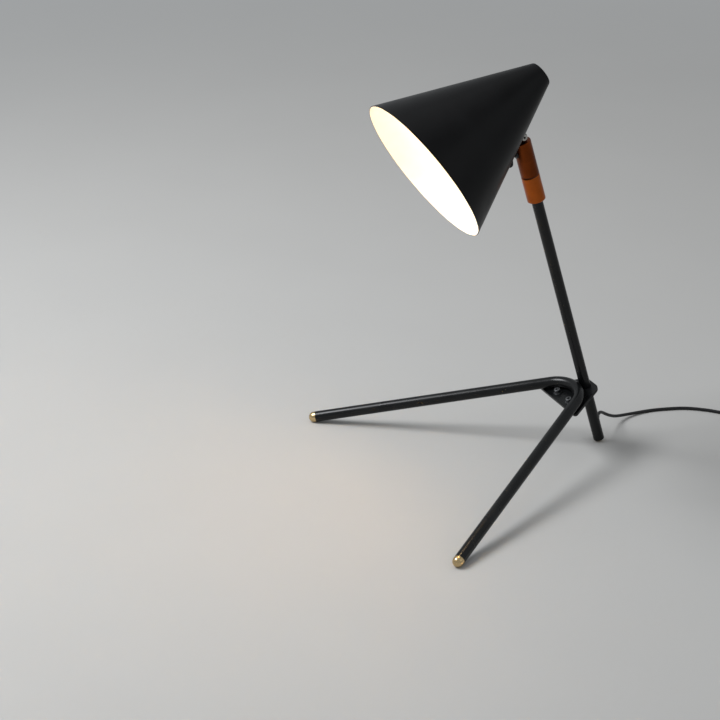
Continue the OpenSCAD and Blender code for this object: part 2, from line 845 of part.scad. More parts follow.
// Pressed lid that closes the narrow end
module end_cap() {
    bend = 1.8;
    rim = [end_r + lid_t * tan(flare), lid_t];
    corner = [end_r, 0];
    flat_r = end_r - 1.6;
    spigot = end_r + lid_t * tan(flare) - skin - 0.1;
    color("#141416") on_shade() rotate_extrude() polygon(concat(
        [[0, -cap_dome]],
        [for (k = [1:5]) [flat_r * k / 5, -cap_dome * (1 - pow(0.94 * k / 5, 2))]],
        [for (k = [1:4]) let (t = k / 5)
            (1 - t) * (1 - t) * [flat_r, -cap_dome * 0.12] + 2 * t * (1 - t) * corner + t * t * rim],
        [rim, [spigot, lid_t], [spigot, lid_skirt], [spigot - 1, lid_skirt], [spigot - 1, lid_t], [0, lid_t - 0.6]]
    ));
}

module shade_grommet() {
    lip = entry_hole + 1.2;
    color("#1b1b1c") on_side(hinge_along + entry_along) rotate([0, 90, 0]) difference() {
        union() {
            translate([0, 0, -shade_wall - 1.4]) cylinder(r = entry_hole - fit, h = shade_wall + 2.4);
            translate([0, 0, 0.25]) cylinder(r1 = lip, r2 = lip - 0.6, h = entry_out - 0.6);
            translate([0, 0, -shade_wall - 1.5]) cylinder(r = lip, h = 1.2);
        }
        translate([0, 0, -5]) cylinder(r = cord_r + fit, h = 10);
    }
}

// The lead inside the shade, from its grommet to the side of the lampholder
lead_hook = 5;
lead_bend = 4;
holder_inlet = holder_z + 6.5;
module shade_lead() {
    side_in = [-cos(flare), sin(flare)];
    entry = [entry_x, entry_z] + 2 * side_in;
    hook = entry + cord_d * side_in - lead_hook * [sin(flare), cos(flare)];
    run_x = holder_r + cord_r + 2 * gap;
    path = concat(
        [entry],
        arc(hook, lead_hook, 90 - flare, 178 - flare, 5),
        [[run_x + 1.2, holder_z + holder_len * 0.6], [run_x, holder_z + holder_len * 0.45]],
        arc([run_x - lead_bend, holder_inlet + lead_bend], lead_bend, 0, -90, 5)
    );
    color("#202022") sweep(
        [for (p = path) shade_point([p.x, 0, p.y])], head_side, cord_r, 8
    );
}

// Lampholder and bulb

module holder_nipple() {
    color("#9a9da1") on_shade() translate([0, 0, nipple_low]) tube(nipple_r, nipple_bore, nipple_high - nipple_low);
}

module nipple_nut() {
    color("#8f9296") on_shade() translate([0, 0, seat_depth - ring_nut_h]) difference() {
        tube(ring_nut_r, nipple_r + fit, ring_nut_h);
        translate([-ring_nut_r, -1, -1]) cube([2 * ring_nut_r, 2, 1.9]);
    }
}

module holder_cap() {
    top = holder_split - holder_z;
    color("#1f1e1d") difference() {
        on_shade() translate([0, 0, holder_z]) rotate_extrude() polygon([
            [nipple_r + fit, 0], [nipple_r + 3, 0], [holder_r - 2.5, 3], [holder_r - 1, 6], [holder_r - 1, top],
            [holder_r - 3, top], [holder_r - 3, 6.4], [holder_r - 4, 4], [nipple_r + 2.6, 2.4], [nipple_r + fit, 2.4]
        ]);
        on_shade() translate([0, 0, holder_inlet]) rotate([0, 90, 0]) cylinder(r = cord_r + 0.4, h = 2 * holder_r);
    }
}

module holder_body() {
    low = holder_split + 0.1;
    high = holder_end - low;
    color("#1f1e1d") on_shade() translate([0, 0, low]) rotate_extrude() polygon([
        [0, 0], [holder_r, 0], [holder_r, high - 14], [holder_r - 0.8, high - 13], [holder_r - 0.8, high - 1],
        [holder_r - 1.8, high], [thread_r + 0.8, high], [thread_r, high - 0.8],
        [thread_r, socket_floor - low], [0, socket_floor - low]
    ]);
}

module holder_shell() {
    color("#b8935a") on_shade() translate([0, 0, socket_floor + 4])
        tube(thread_r - fit, cap_r + 0.15, holder_end - socket_floor - 6);
}

module holder_contact() {
    color("#b8935a") on_shade() translate([0, 0, socket_floor + fit]) {
        cylinder(r = 4, h = 0.8);
        cylinder(r = 1.6, h = 1.3);
    }
}

module bulb_cap() {
    low = cap_low;
    color("#a9acb0") on_shade() rotate_extrude() polygon([
        [0, low - 1.6], [2, low - 1.6], [2.6, low - 0.6], [cap_r - 0.8, low + 1.4],
        [cap_r, low + 2.4], [cap_r, glass_z - fit], [0, glass_z - fit]
    ]);
}

// Side of the glass at depth w below its outer face, from the crown to the cap
function glass_side(w) =
    let (
        throat = 43,
        ball = arc([0, bulb_mid], bulb_r - w, 90, -throat, 18),
        low = ball[18],
        neck = neck_r - w,
        hip = [neck, low.y - (low.x - neck) / tan(throat)],
        foot = [neck, glass_z + 3]
    )
    concat(ball, [for (k = [1:6]) let (t = k / 6) (1 - t) * (1 - t) * low + 2 * t * (1 - t) * hip + t * t * foot]);

module bulb_glass() {
    outer = glass_side(0);
    inner = glass_side(glass_wall);
    last = len(inner) - 1;
    color("#fff4dc") on_shade() rotate_extrude($fn = 72) polygon(concat(
        outer,
        [[cap_r - 0.2, glass_z], [cap_r - 1.2, glass_z]],
        [for (k = [0:last]) inner[last - k]]
    ));
}

// Cord

switch_inlet = switch_at + [-run_way.x, -run_way.y, 0] * switch_len / 2 + [0, 0, inlet_h];
switch_outlet = switch_at + [run_way.x, run_way.y, 0] * switch_len / 2 + [0, 0, inlet_h];

module cord_run() {
    color("#202022") sweep(
        concat(
            [cord_start, cord_start + cord_d * cord_way],
            route,
            [switch_inlet - 2.6 * cord_d * [run_way.x, run_way.y, 0.1],
             switch_inlet - cord_d * [run_way.x, run_way.y, 0], switch_inlet]
        ),
        [0, 0, 1], cord_r, 8
    );
}

// Turns wound so far at step k, folded into how far in the spiral has gone
function folded(u) = let (v = u / coil_turns, w = v - 2 * floor(v / 2)) coil_turns * (w < 1 ? w : 2 - w);
function ease(t) = t <= 0 ? 0 : t >= 1 ? 1 : t * t * (3 - 2 * t);
function climbed(u) =
    let (n = round(u / coil_turns), here = u - n * coil_turns)
    n <= 0 ? 0 : n >= coil_layers ? coil_layers - 1 : n - 1 + ease(here / 0.5 + 0.5);
function coil_point(u) =
    let (r = coil_out - coil_step * folded(u), a = switch_heading - 90 + 360 * u)
    [coil_mid.x + r * cos(a), coil_mid.y + r * sin(a), coil_lie + coil_step * climbed(u)];
coil_steps = round(rings * coil_total);
coil_path = [for (k = [0:coil_steps]) coil_point(k / rings)];
lead_up = [end_way.x, end_way.y, 0];
plug_mouth = [plug_at.x, plug_at.y, plug_h];
coil_route = concat(
    [switch_outlet, switch_outlet + cord_d * [run_way.x, run_way.y, 0],
     (switch_outlet + coil_path[0]) / 2 + [0, 0, 0.2]],
    coil_path,
    [coil_path[coil_steps] + 7 * lead_up + [0, 0, -1],
     coil_path[coil_steps] + 13 * lead_up + [0, 0, (plug_h - coil_high) * 0.62],
     plug_mouth - 1.6 * cord_d * lead_up + [0, 0, 0.2], plug_mouth - cord_d * lead_up, plug_mouth]
);
module cord_coil() {
    color("#202022") sweep(coil_route, [0, 0, 1], cord_r, 6);
}

// Least gap between the coil's turns, measured between the middles of its rings
coil_gap = min([
    for (i = [0:coil_steps], j = [i + 12:1:coil_steps]) norm(coil_path[i] - coil_path[j])
]) - cord_d;
echo("least gap between turns of the coil", coil_gap);

// Flat strap round the bundle of turns
module coil_tie() {
    spare = 0.9;
    in_x = coil_out - coil_step * coil_turns - cord_r - spare;
    out_x = coil_out + cord_r + spare;
    high = coil_high + cord_r + gap;
    tie_turn = switch_heading + 150;
    color("#2b2c2f") translate([coil_mid.x, coil_mid.y, 0]) rotate([0, 0, tie_turn])
        translate([0, tie_w / 2, 0]) rotate([90, 0, 0]) linear_extrude(tie_w) difference() {
            wrap([
                [in_x + 0.6, 1.6, 1.6], [out_x - 0.6, 1.6, 1.6],
                [out_x - 0.6, high + tie_t - 1.6, 1.6], [in_x + 0.6, high + tie_t - 1.6, 1.6]
            ]);
            translate([in_x, tie_t]) square([out_x - in_x, high - tie_t]);
        }
}

// Cord switch. Its length runs along x, and it lies on the table.

module switch_outline() {
    end = switch_len / 2 - 5;
    bend = switch_len / 2 - 17;
    wide = switch_w / 2 - 8;
    polygon(outline([[-end, 0, 5], [-bend, -wide, 8], [bend, -wide, 8], [end, 0, 5], [bend, wide, 8], [-bend, wide, 8]]));
}

// Side view of the whole case: flat below, crowned above
module switch_side() {
    half = switch_len / 2;
    polygon(concat(
        [[-half - 1, 0], [half + 1, 0]],
        [for (k = [-8:8]) let (x = -k / 8 * (half + 1)) [x, switch_h - 3 * pow(x / half, 2)]]
    ));
}

module switch_case(z0, z1) {
    intersection() {
        translate([0, 0, z0]) linear_extrude(z1 - z0) switch_outline();
        translate([0, switch_w, 0]) rotate([90, 0, 0]) linear_extrude(2 * switch_w) switch_side();
    }
}

module rocker_window(h) {
    wide = rocker_w / 2 + window_gap;
    half = rocker_len / 2 + window_gap - wide;
    translate([0, 0, h]) linear_extrude(20) polygon(outline([[-half, 0, wide], [half, 0, wide]], 10));
}

module switch_base() {
    inside = switch_len / 2 - 12;
    color("#1b1b1c") at_switch() difference() {
        switch_case(0, switch_split);
        translate([-inside, -switch_w / 2 + switch_wall + 1, switch_wall])
            cube([2 * inside, switch_w - 2 * switch_wall - 2, switch_h]);
        translate([-switch_len, 0, inlet_h]) rotate([0, 90, 0])
            cylinder(r = cord_r + fit, h = 2 * switch_len);
    }
}

module switch_cover() {
    inside = switch_len / 2 - 12;
    color("#1b1b1c") at_switch() difference() {
        switch_case(switch_split + 0.05, switch_h);
        translate([-inside, -switch_w / 2 + switch_wall + 1, 0])
            cube([2 * inside, switch_w - 2 * switch_wall - 2, switch_h - switch_wall - 0.6]);
        rocker_window(switch_split);
        translate([-switch_len, 0, inlet_h]) rotate([0, 90, 0])
            cylinder(r = cord_r + fit, h = 2 * switch_len);
        translate([0, 0, axle_h]) rotate([90, 0, 0])
            cylinder(r = axle_r + fit, h = rocker_w + 3.2, center = true);
        rocker_room();
    }
}

// Space under the window for the ends of the rocker
module rocker_room() {
    translate([0, 0, switch_split]) linear_extrude(switch_h - switch_split - 1)
        square([rocker_len + 2 * window_gap, rocker_w + 2 * window_gap], center = true);
}

// Rocker with its two stub axles, pressed down at the end nearer the plug
module switch_rocker() {
    wide = rocker_w / 2;
    half = rocker_len / 2 - wide;
    crest = switch_h + 0.4 - axle_h;
    drop = crest - rocker_len / 2 * tan(rocker_tilt);
    color("#2a2a2c") at_switch() translate([0, 0, axle_h]) rotate([0, rocker_tilt, 0]) {
        intersection() {
            translate([0, 0, -2]) linear_extrude(20) polygon(outline([[-half, 0, wide - 0.1], [half, 0, wide - 0.1]], 10));
            translate([0, rocker_w, 0]) rotate([90, 0, 0]) linear_extrude(2 * rocker_w) polygon([
                [rocker_slant - rocker_len / 2, drop + 1.6], [0, drop], [rocker_len / 2 - rocker_slant, drop + 1.6],
                [rocker_len / 2, 0.4], [2.5, -2], [-2.5, -2], [-rocker_len / 2, 0.4]
            ]);
        }
        rotate([90, 0, 0]) cylinder(r = axle_r, h = rocker_w + 2.6, center = true);
    }
}

// Plug. Its pins point along x, away from the cord.

module plug_body() {
    side_y = plug_w / 2 - 5;
    half_t = plug_t / 2;
    color("#1b1b1c") at_plug() difference() {
        union() {
            intersection() {
                translate([plug_tail, 0, -half_t]) linear_extrude(plug_t) polygon(outline([
                    [6, 0, 6], [plug_len - 14, -side_y, 5], [plug_len - 3, -side_y, 3],
                    [plug_len - 3, side_y, 3], [plug_len - 14, side_y, 5]
                ]));
                translate([plug_tail, plug_w, 0]) rotate([90, 0, 0]) linear_extrude(2 * plug_w) polygon(outline([
                    [5, 0, 4.6], [plug_len - 18, 1.5 - half_t + 1.5, 3], [plug_len - 2, 2 - half_t, 2],
                    [plug_len - 2, half_t - 2, 2], [plug_len - 18, half_t - 3, 3]
                ]));
            }
            rotate([0, 90, 0]) {
                cylinder(r1 = cord_r + 0.8, r2 = 4, h = plug_tail + 3);
                for (k = [0:3]) translate([0, 0, 4 + 5 * k]) cylinder(r = 3.3 + 0.35 * k, h = 2.4);
            }
        }
        for (y = [-1, 1]) translate([plug_tail + plug_len - 10, y * plug_pitch / 2, 0]) rotate([0, 90, 0])
            cylinder(r = plug_pin_d / 2 + fit, h = 20);
    }
}

module plug_pins() {
    color("#b9bcc0") at_plug() for (y = [-1, 1])
        translate([plug_tail + plug_len - 9.9, y * plug_pitch / 2, 0]) rotate([0, 90, 0]) {
            cylinder(r = plug_pin_d / 2, h = 9.9 + plug_pin_len - 1);
            translate([0, 0, 8.9 + plug_pin_len]) cylinder(r1 = plug_pin_d / 2, r2 = plug_pin_d / 2 - 0.8, h = 1);
        }
}

pole_tube();
pole_foot();
cord_grommet();
pole_lead();
leg_frame();
leg_tips();
hub_plate();
pole_flange();
hub_screws();
hub_washers();
hub_nuts();
knuckle_sleeve();
sleeve_screw();
swivel_spindle();
swivel_washer();
stop_pin();
spring_washer();
spindle_nut();
knuckle_head();
hinge_eye();
lead_bush();
flex_lead();
shade_bracket();
bracket_rivets();
hinge_screw();
hinge_nut();
hinge_washers();
shade_shell();
end_cap();
shade_grommet();
shade_lead();
holder_nipple();
nipple_nut();
holder_cap();
holder_body();
holder_shell();
holder_contact();
bulb_cap();
bulb_glass();
cord_run();
switch_base();
switch_cover();
switch_rocker();
cord_coil();
coil_tie();
plug_body();
plug_pins();
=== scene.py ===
import json
import math

import bmesh
import bpy
import numpy as np
from bpy.props import FloatProperty, FloatVectorProperty, IntProperty, PointerProperty
from mathutils import Matrix, Vector

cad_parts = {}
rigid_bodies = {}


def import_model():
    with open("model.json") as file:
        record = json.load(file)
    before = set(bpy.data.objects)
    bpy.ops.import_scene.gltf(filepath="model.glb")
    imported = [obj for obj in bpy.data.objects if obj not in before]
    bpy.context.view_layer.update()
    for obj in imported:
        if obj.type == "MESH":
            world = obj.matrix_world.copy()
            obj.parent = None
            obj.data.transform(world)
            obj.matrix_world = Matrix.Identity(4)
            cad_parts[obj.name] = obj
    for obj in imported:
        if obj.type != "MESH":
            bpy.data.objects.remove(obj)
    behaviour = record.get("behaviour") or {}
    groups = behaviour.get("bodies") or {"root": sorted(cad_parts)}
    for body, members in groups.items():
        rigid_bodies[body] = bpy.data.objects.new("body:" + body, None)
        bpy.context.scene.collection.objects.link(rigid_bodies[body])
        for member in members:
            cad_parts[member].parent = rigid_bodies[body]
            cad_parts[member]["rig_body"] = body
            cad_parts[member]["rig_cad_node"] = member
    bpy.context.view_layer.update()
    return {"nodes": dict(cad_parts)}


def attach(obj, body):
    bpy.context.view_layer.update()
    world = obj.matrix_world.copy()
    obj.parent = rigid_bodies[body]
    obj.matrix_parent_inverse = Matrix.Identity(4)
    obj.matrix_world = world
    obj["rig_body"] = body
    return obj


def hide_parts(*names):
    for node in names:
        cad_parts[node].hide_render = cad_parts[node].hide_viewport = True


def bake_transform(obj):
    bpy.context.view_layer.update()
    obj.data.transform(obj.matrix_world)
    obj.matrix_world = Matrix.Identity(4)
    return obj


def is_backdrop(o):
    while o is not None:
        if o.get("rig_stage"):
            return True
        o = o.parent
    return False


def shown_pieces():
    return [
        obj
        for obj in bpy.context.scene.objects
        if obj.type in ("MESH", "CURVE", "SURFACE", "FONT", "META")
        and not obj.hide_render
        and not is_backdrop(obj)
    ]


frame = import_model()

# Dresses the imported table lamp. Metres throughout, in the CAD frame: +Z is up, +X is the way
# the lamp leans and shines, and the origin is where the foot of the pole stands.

bl_info = {
    "name": "Tripod table lamp",
    "version": (1, 0, 0),
    "blender": (4, 5, 0),
    "location": "3D View > Sidebar > Lamp",
    "description": "Builds a tripod table lamp with a turning knuckle and a tilting conical shade",
    "category": "Add Mesh",
}

MM = 0.001

# Sizes of the CAD model that the surfaces follow, in millimetres and degrees

# Stand: the pole's frame starts FOOT_RISE above the table, and the legs' frame HUB_RISE along it
POLE_LEAN = 16.8
FOOT_RISE = 4.5
HUB_RISE = 76.5
LEG_FALL = 16.4
LEG_HALF = 33.25
LEG_LENGTH = 272.2
TIP_SHOW = 2.5
BEND_RADIUS = 33
BEND_X = 45.4
TUBE_RADIUS = 6
TUBE_WALL = 1.2

# Knuckle: places along the pole, and how far the hinge pin and the lead's bush stand off its axis
HEAD_TURN = 2
PIN_RISE = 386.6
PIN_BACK = 1.5
BUSH_RISE = 369.6
BUSH_OUT = 10.95
LEAD_LOW = 353.8

# Shade, lampholder and bulb: radii, and places from the narrow end, along the cone's side or its axis
SHADE_DIP = 31.5
CONE_TOP = 12.9
CONE_RIM = 83.75
CONE_LENGTH = 158.5
HINGE_ALONG = 59.6
HINGE_STAND = 6.4
ENTRY_ALONG = HINGE_ALONG + 26
HOLDER_LOW = 7.4
HOLDER_LENGTH = 46
HOLDER_RADIUS = 13.5
BULB_RADIUS = 22.5
BULB_MIDDLE = 84.9
GLASS_LOW = 51.4
NECK_RADIUS = 8.2

# Cord: its diameter, where it leaves the pole, the switch on it, its coil and its plug
CORD = 3.6
CORD_LIE = 1.85
CORD_RISE = 19
CORD_TURN = 226
SNOUT_OUT = 12.5
SWITCH_AT = (-198, 46.5, 6)
SWITCH_HEADING = 131
SWITCH_HALF = 28
COIL_TURNS = 2.875
COIL_LAYERS = 4
COIL_STEP = 4.1
COIL_LIE = 3.1
COIL_LEAD_IN = 14
COIL_REACH = 26.19
COIL_OUTSIDE = 26.05
PLUG_LEAD = 24
PLUG_RISE = 7.05

# The cone's half angle with its tangent, cosine and sine, its 1 mm wall measured square to the axis,
# and the hinge pin's place in the shade's frame

FLARE = math.degrees(math.atan((CONE_RIM - CONE_TOP) / CONE_LENGTH))
TAN = math.tan(math.radians(FLARE))
COS = math.cos(math.radians(FLARE))
SIN = math.sin(math.radians(FLARE))
SKIN = 1 / COS
PIN_X = CONE_TOP + HINGE_ALONG * SIN + HINGE_STAND * COS
PIN_Z = HINGE_ALONG * COS - HINGE_STAND * SIN

# The cord's route on the table, given for the CAD model, in millimetres

CORD_ROUTE = [
    [-8.4, -14.6, 26.1], [-12, -17.4, 24.9], [-16, -19.8, 22.4], [-20.5, -21.8, 19.1],
    [-26, -24, 15.4], [-32, -26.4, 12], [-39, -29.2, 8.8], [-47, -32.2, 6.3], [-56, -34.8, 4.4],
    [-66, -36.4, 3], [-76, -37, 2.2], [-86, -36.6, CORD_LIE], [-96, -35, CORD_LIE],
    [-106, -32.4, CORD_LIE], [-116, -29.4, CORD_LIE], [-125, -26, CORD_LIE],
    [-134, -21, CORD_LIE], [-142, -15, CORD_LIE], [-150, -8, CORD_LIE], [-157, -0.5, CORD_LIE],
    [-163, 6.4, CORD_LIE], [-169, 13.2, 3.2],
]

# The photograph's camera, worked out from the lamp: metres, directions and millimetres of lens

CAMERA_PLACE = (1.19615, 1.9285, 1.1737)
CAMERA_RIGHT = (-0.90551, 0.42433, 0)
CAMERA_BACK = (0.38302, 0.81736, 0.43036)
CAMERA_LENS = 114.3
CAMERA_SENSOR = 36


# Frames: matrices that put a working place of the lamp into the row frame

def shift(x, y, z):
    """Moves by x, y and z millimetres."""
    place = np.eye(4)
    place[:3, 3] = np.array([x, y, z]) * MM
    return place


def turn(axis, degrees):
    """Turns about an axis by the right-hand rule."""
    return np.array(Matrix.Rotation(math.radians(degrees), 4, axis))


def put(points, place):
    """Points in metres carried from a working place to the row frame."""
    return np.asarray(points, float) @ place[:3, :3].T + place[:3, 3]


POLE = shift(0, 0, FOOT_RISE) @ turn("Y", POLE_LEAN)
HEAD = POLE @ turn("Z", HEAD_TURN)
PIN = HEAD @ shift(-PIN_BACK, 0, PIN_RISE)
SHADE = PIN @ turn("Y", 90 + SHADE_DIP - POLE_LEAN) @ shift(-PIN_X, 0, -PIN_Z)
LEGS = POLE @ shift(0, 0, HUB_RISE) @ turn("Y", LEG_FALL - POLE_LEAN)
HEAD_SIDE = put([0, 1, 0], HEAD) - put([0, 0, 0], HEAD)


# Colours and nodes

# Nearly all of a noise lies between these two values, so a range is stretched from there
NOISE_RANGE = {"From Min": 0.3, "From Max": 0.7}


def linear(hexcode):
    """An sRGB hex colour as linear red, green and blue: a straight line near black, and above it
    a power of 2.4."""
    rgb = np.array([int(hexcode[i:i + 2], 16) for i in (1, 3, 5)]) / 255
    return tuple(np.where(rgb <= 0.04045, rgb / 12.92, ((rgb + 0.055) / 1.055) ** 2.4))


def add(tree, kind, out=None, inputs=None, **settings):
    """Adds a node and gives back its output called out, or all its outputs. A socket given as an
    input is linked, and any other value is set."""
    node = tree.nodes.new(kind)
    for name, value in settings.items():
        setattr(node, name, value)
    for name, value in (inputs or {}).items():
        if isinstance(value, bpy.types.NodeSocket):
            tree.links.new(value, node.inputs[name])
        else:
            node.inputs[name].default_value = value
    return node.outputs[out] if out else node.outputs


def begin(name):
    """A new material with an empty tree, and its tree."""
    material = bpy.data.materials.new(name)
    material.use_nodes = True
    material.node_tree.nodes.clear()
    return material, material.node_tree


def seen(tree):
    """1 for a ray that shows a surface directly, in a reflection or through glass, and 0 for light:
    the largest of the three shares."""
    rays = add(tree, "ShaderNodeLightPath")
    share = rays["Is Camera Ray"]
    for other in ("Is Glossy Ray", "Is Transmission Ray"):
        share = add(tree, "ShaderNodeMath", "Value", {0: share, 1: rays[other]}, operation="MAXIMUM")
    return share


# Materials. Sizes of patterns and depths of reliefs are given in millimetres

def satin_paint(name, colour, rough, level):
    """Sprayed satin paint on steel: the eye sees a soft, slightly uneven sheen and a fine orange
    peel of about two millimetres, and the sheen dulls a little in patches where hands have been."""
    material, tree = begin(name)
    patch, peel, depth = 28 * MM, 2.2 * MM, 0.0012 * MM
    lighter = [c * 1.5 + 0.0015 for c in colour]
    where = add(tree, "ShaderNodeTexCoord", "Object")
    patches = add(tree, "ShaderNodeTexNoise", "Fac", {"Vector": where, "Scale": 1 / patch, "Detail": 3})
    grain = add(tree, "ShaderNodeTexNoise", "Fac", {"Vector": where, "Scale": 1 / peel, "Detail": 1})
    share = add(tree, "ShaderNodeMapRange", "Result", {"Value": patches, **NOISE_RANGE})
    tint = add(tree, "ShaderNodeMix", "Result", {
        "Factor": share, "A": (*colour, 1), "B": (*lighter, 1)}, data_type="RGBA")
    sheen = add(tree, "ShaderNodeMapRange", "Result", {
        "Value": patches, **NOISE_RANGE, "To Min": rough - 0.05, "To Max": rough + 0.06})
    bump = add(tree, "ShaderNodeBump", "Normal", {"Height": grain, "Strength": 1, "Distance": depth})
    shader = add(tree, "ShaderNodeBsdfPrincipled", "BSDF", {
        "Base Color": tint, "Roughness": sheen, "Normal": bump, "Specular IOR Level": level})
    add(tree, "ShaderNodeOutputMaterial", None, {"Surface": shader})
    return material


def white_enamel(name, colour):
    """White stove enamel inside the shade: even and matt so that it spreads the light, with a
    faint unevenness from spraying into a cone."""
    material, tree = begin(name)
    cloud, ripple, depth = 22 * MM, 1.2 * MM, 0.01 * MM
    duller = [c * 0.93 for c in colour]
    where = add(tree, "ShaderNodeTexCoord", "Object")
    clouds = add(tree, "ShaderNodeTexNoise", "Fac", {"Vector": where, "Scale": 1 / cloud, "Detail": 3})
    ripples = add(tree, "ShaderNodeTexNoise", "Fac", {"Vector": where, "Scale": 1 / ripple})
    share = add(tree, "ShaderNodeMapRange", "Result", {"Value": clouds, **NOISE_RANGE})
    tint = add(tree, "ShaderNodeMix", "Result", {
        "Factor": share, "A": (*colour, 1), "B": (*duller, 1)}, data_type="RGBA")
    sheen = add(tree, "ShaderNodeMapRange", "Result", {
        "Value": clouds, **NOISE_RANGE, "To Min": 0.44, "To Max": 0.54})
    bump = add(tree, "ShaderNodeBump", "Normal", {"Height": ripples, "Strength": 1, "Distance": depth})
    shader = add(tree, "ShaderNodeBsdfPrincipled", "BSDF", {
        "Base Color": tint, "Roughness": sheen, "Normal": bump})
    add(tree, "ShaderNodeOutputMaterial", None, {"Surface": shader})
    return material


def turned_metal(name, bright, dull, rough, tilt, tarnish):
    """Lathe-turned brass left to darken: the eye sees a warm metal with fine rings round it,
    a broad soft highlight along it and browner patches. The rings are drawn 0.6 mm apart,
    coarser than a tool leaves them, so that they show. The pattern is turned back by the
    piece's tilt, so that its Z runs along the piece, and is then drawn out round it."""
    material, tree = begin(name)
    ring, speck, patch, depth = 0.6 * MM, 1.6 * MM, 16 * MM, 0.0015 * MM
    where = add(tree, "ShaderNodeTexCoord", "Object")
    upright = add(tree, "ShaderNodeMapping", "Vector", {
        "Vector": where, "Rotation": (0, math.radians(-tilt), 0)})
    drawn = add(tree, "ShaderNodeMapping", "Vector", {"Vector": upright, "Scale": (0.06, 0.06, 1)})
    rings = add(tree, "ShaderNodeTexNoise", "Fac", {
        "Vector": drawn, "Scale": 1 / ring, "Detail": 3, "Roughness": 0.6})
    specks = add(tree, "ShaderNodeTexNoise", "Fac", {"Vector": drawn, "Scale": 1 / speck})
    patches = add(tree, "ShaderNodeTexNoise", "Fac", {"Vector": upright, "Scale": 1 / patch, "Detail": 3})
    broad = add(tree, "ShaderNodeMapRange", "Result", {
        "Value": patches, **NOISE_RANGE, "To Min": 0.25, "To Max": 1})
    fine = add(tree, "ShaderNodeMapRange", "Result", {
        "Value": specks, **NOISE_RANGE, "To Min": 0.75, "To Max": 1.1})
    both = add(tree, "ShaderNodeMath", "Value", {0: broad, 1: fine}, operation="MULTIPLY")
    share = add(tree, "ShaderNodeMath", "Value", {0: both, 1: tarnish}, operation="MULTIPLY", use_clamp=True)
    tint = add(tree, "ShaderNodeMix", "Result", {
        "Factor": share, "A": (*bright, 1), "B": (*dull, 1)}, data_type="RGBA")
    ringed = add(tree, "ShaderNodeMapRange", "Result", {
        "Value": rings, **NOISE_RANGE, "To Min": rough - 0.025, "To Max": rough + 0.025})
    patched = add(tree, "ShaderNodeMapRange", "Result", {
        "Value": patches, **NOISE_RANGE, "To Min": -0.02, "To Max": 0.05})
    sheen = add(tree, "ShaderNodeMath", "Value", {0: ringed, 1: patched}, operation="ADD")
    bump = add(tree, "ShaderNodeBump", "Normal", {"Height": rings, "Strength": 1, "Distance": depth})
    shader = add(tree, "ShaderNodeBsdfPrincipled", "BSDF", {
        "Base Color": tint, "Metallic": 1, "Roughness": sheen, "Normal": bump})
    add(tree, "ShaderNodeOutputMaterial", None, {"Surface": shader})
    return material


def zinc_plate(name, colour):
    """Zinc-plated steel, passivated clear or black: the eye sees a cool metal with a faintly
    mottled, half-bright skin."""
    material, tree = begin(name)
    mottle, depth = 1.8 * MM, 0.008 * MM
    duller = [c * 0.72 for c in colour]
    where = add(tree, "ShaderNodeTexCoord", "Object")
    mottles = add(tree, "ShaderNodeTexNoise", "Fac", {
        "Vector": where, "Scale": 1 / mottle, "Detail": 4, "Roughness": 0.65})
    share = add(tree, "ShaderNodeMapRange", "Result", {"Value": mottles, **NOISE_RANGE})
    tint = add(tree, "ShaderNodeMix", "Result", {
        "Factor": share, "A": (*colour, 1), "B": (*duller, 1)}, data_type="RGBA")
    sheen = add(tree, "ShaderNodeMapRange", "Result", {
        "Value": mottles, **NOISE_RANGE, "To Min": 0.27, "To Max": 0.44})
    bump = add(tree, "ShaderNodeBump", "Normal", {"Height": mottles, "Strength": 1, "Distance": depth})
    shader = add(tree, "ShaderNodeBsdfPrincipled", "BSDF", {
        "Base Color": tint, "Metallic": 1, "Roughness": sheen, "Normal": bump})
    add(tree, "ShaderNodeOutputMaterial", None, {"Surface": shader})
    return material


def moulded(name, colour, rough, grain=0.5, depth=0.012):
    """Dark plastic, moulded or extruded, pressed fibre, and the painted shade in a screw's recess, with a
    grain so wide and so
    deep in millimetres: the eye sees an even, quiet surface, rubbed a little paler in places."""
    material, tree = begin(name)
    patch = 14 * MM
    rubbed = [c * 1.7 + 0.002 for c in colour]
    where = add(tree, "ShaderNodeTexCoord", "Object")
    grains = add(tree, "ShaderNodeTexNoise", "Fac", {
        "Vector": where, "Scale": 1 / (grain * MM), "Roughness": 0.6})
    wear = add(tree, "ShaderNodeTexNoise", "Fac", {"Vector": where, "Scale": 1 / patch, "Detail": 3})
    share = add(tree, "ShaderNodeMapRange", "Result", {"Value": wear, **NOISE_RANGE, "To Max": 0.8})
    tint = add(tree, "ShaderNodeMix", "Result", {
        "Factor": share, "A": (*colour, 1), "B": (*rubbed, 1)}, data_type="RGBA")
    sheen = add(tree, "ShaderNodeMapRange", "Result", {
        "Value": wear, **NOISE_RANGE, "To Min": rough - 0.05, "To Max": rough + 0.06})
    bump = add(tree, "ShaderNodeBump", "Normal", {"Height": grains, "Strength": 1, "Distance": depth * MM})
    shader = add(tree, "ShaderNodeBsdfPrincipled", "BSDF", {
        "Base Color": tint, "Roughness": sheen, "Normal": bump, "Specular IOR Level": 0.35})
    add(tree, "ShaderNodeOutputMaterial", None, {"Surface": shader})
    return material


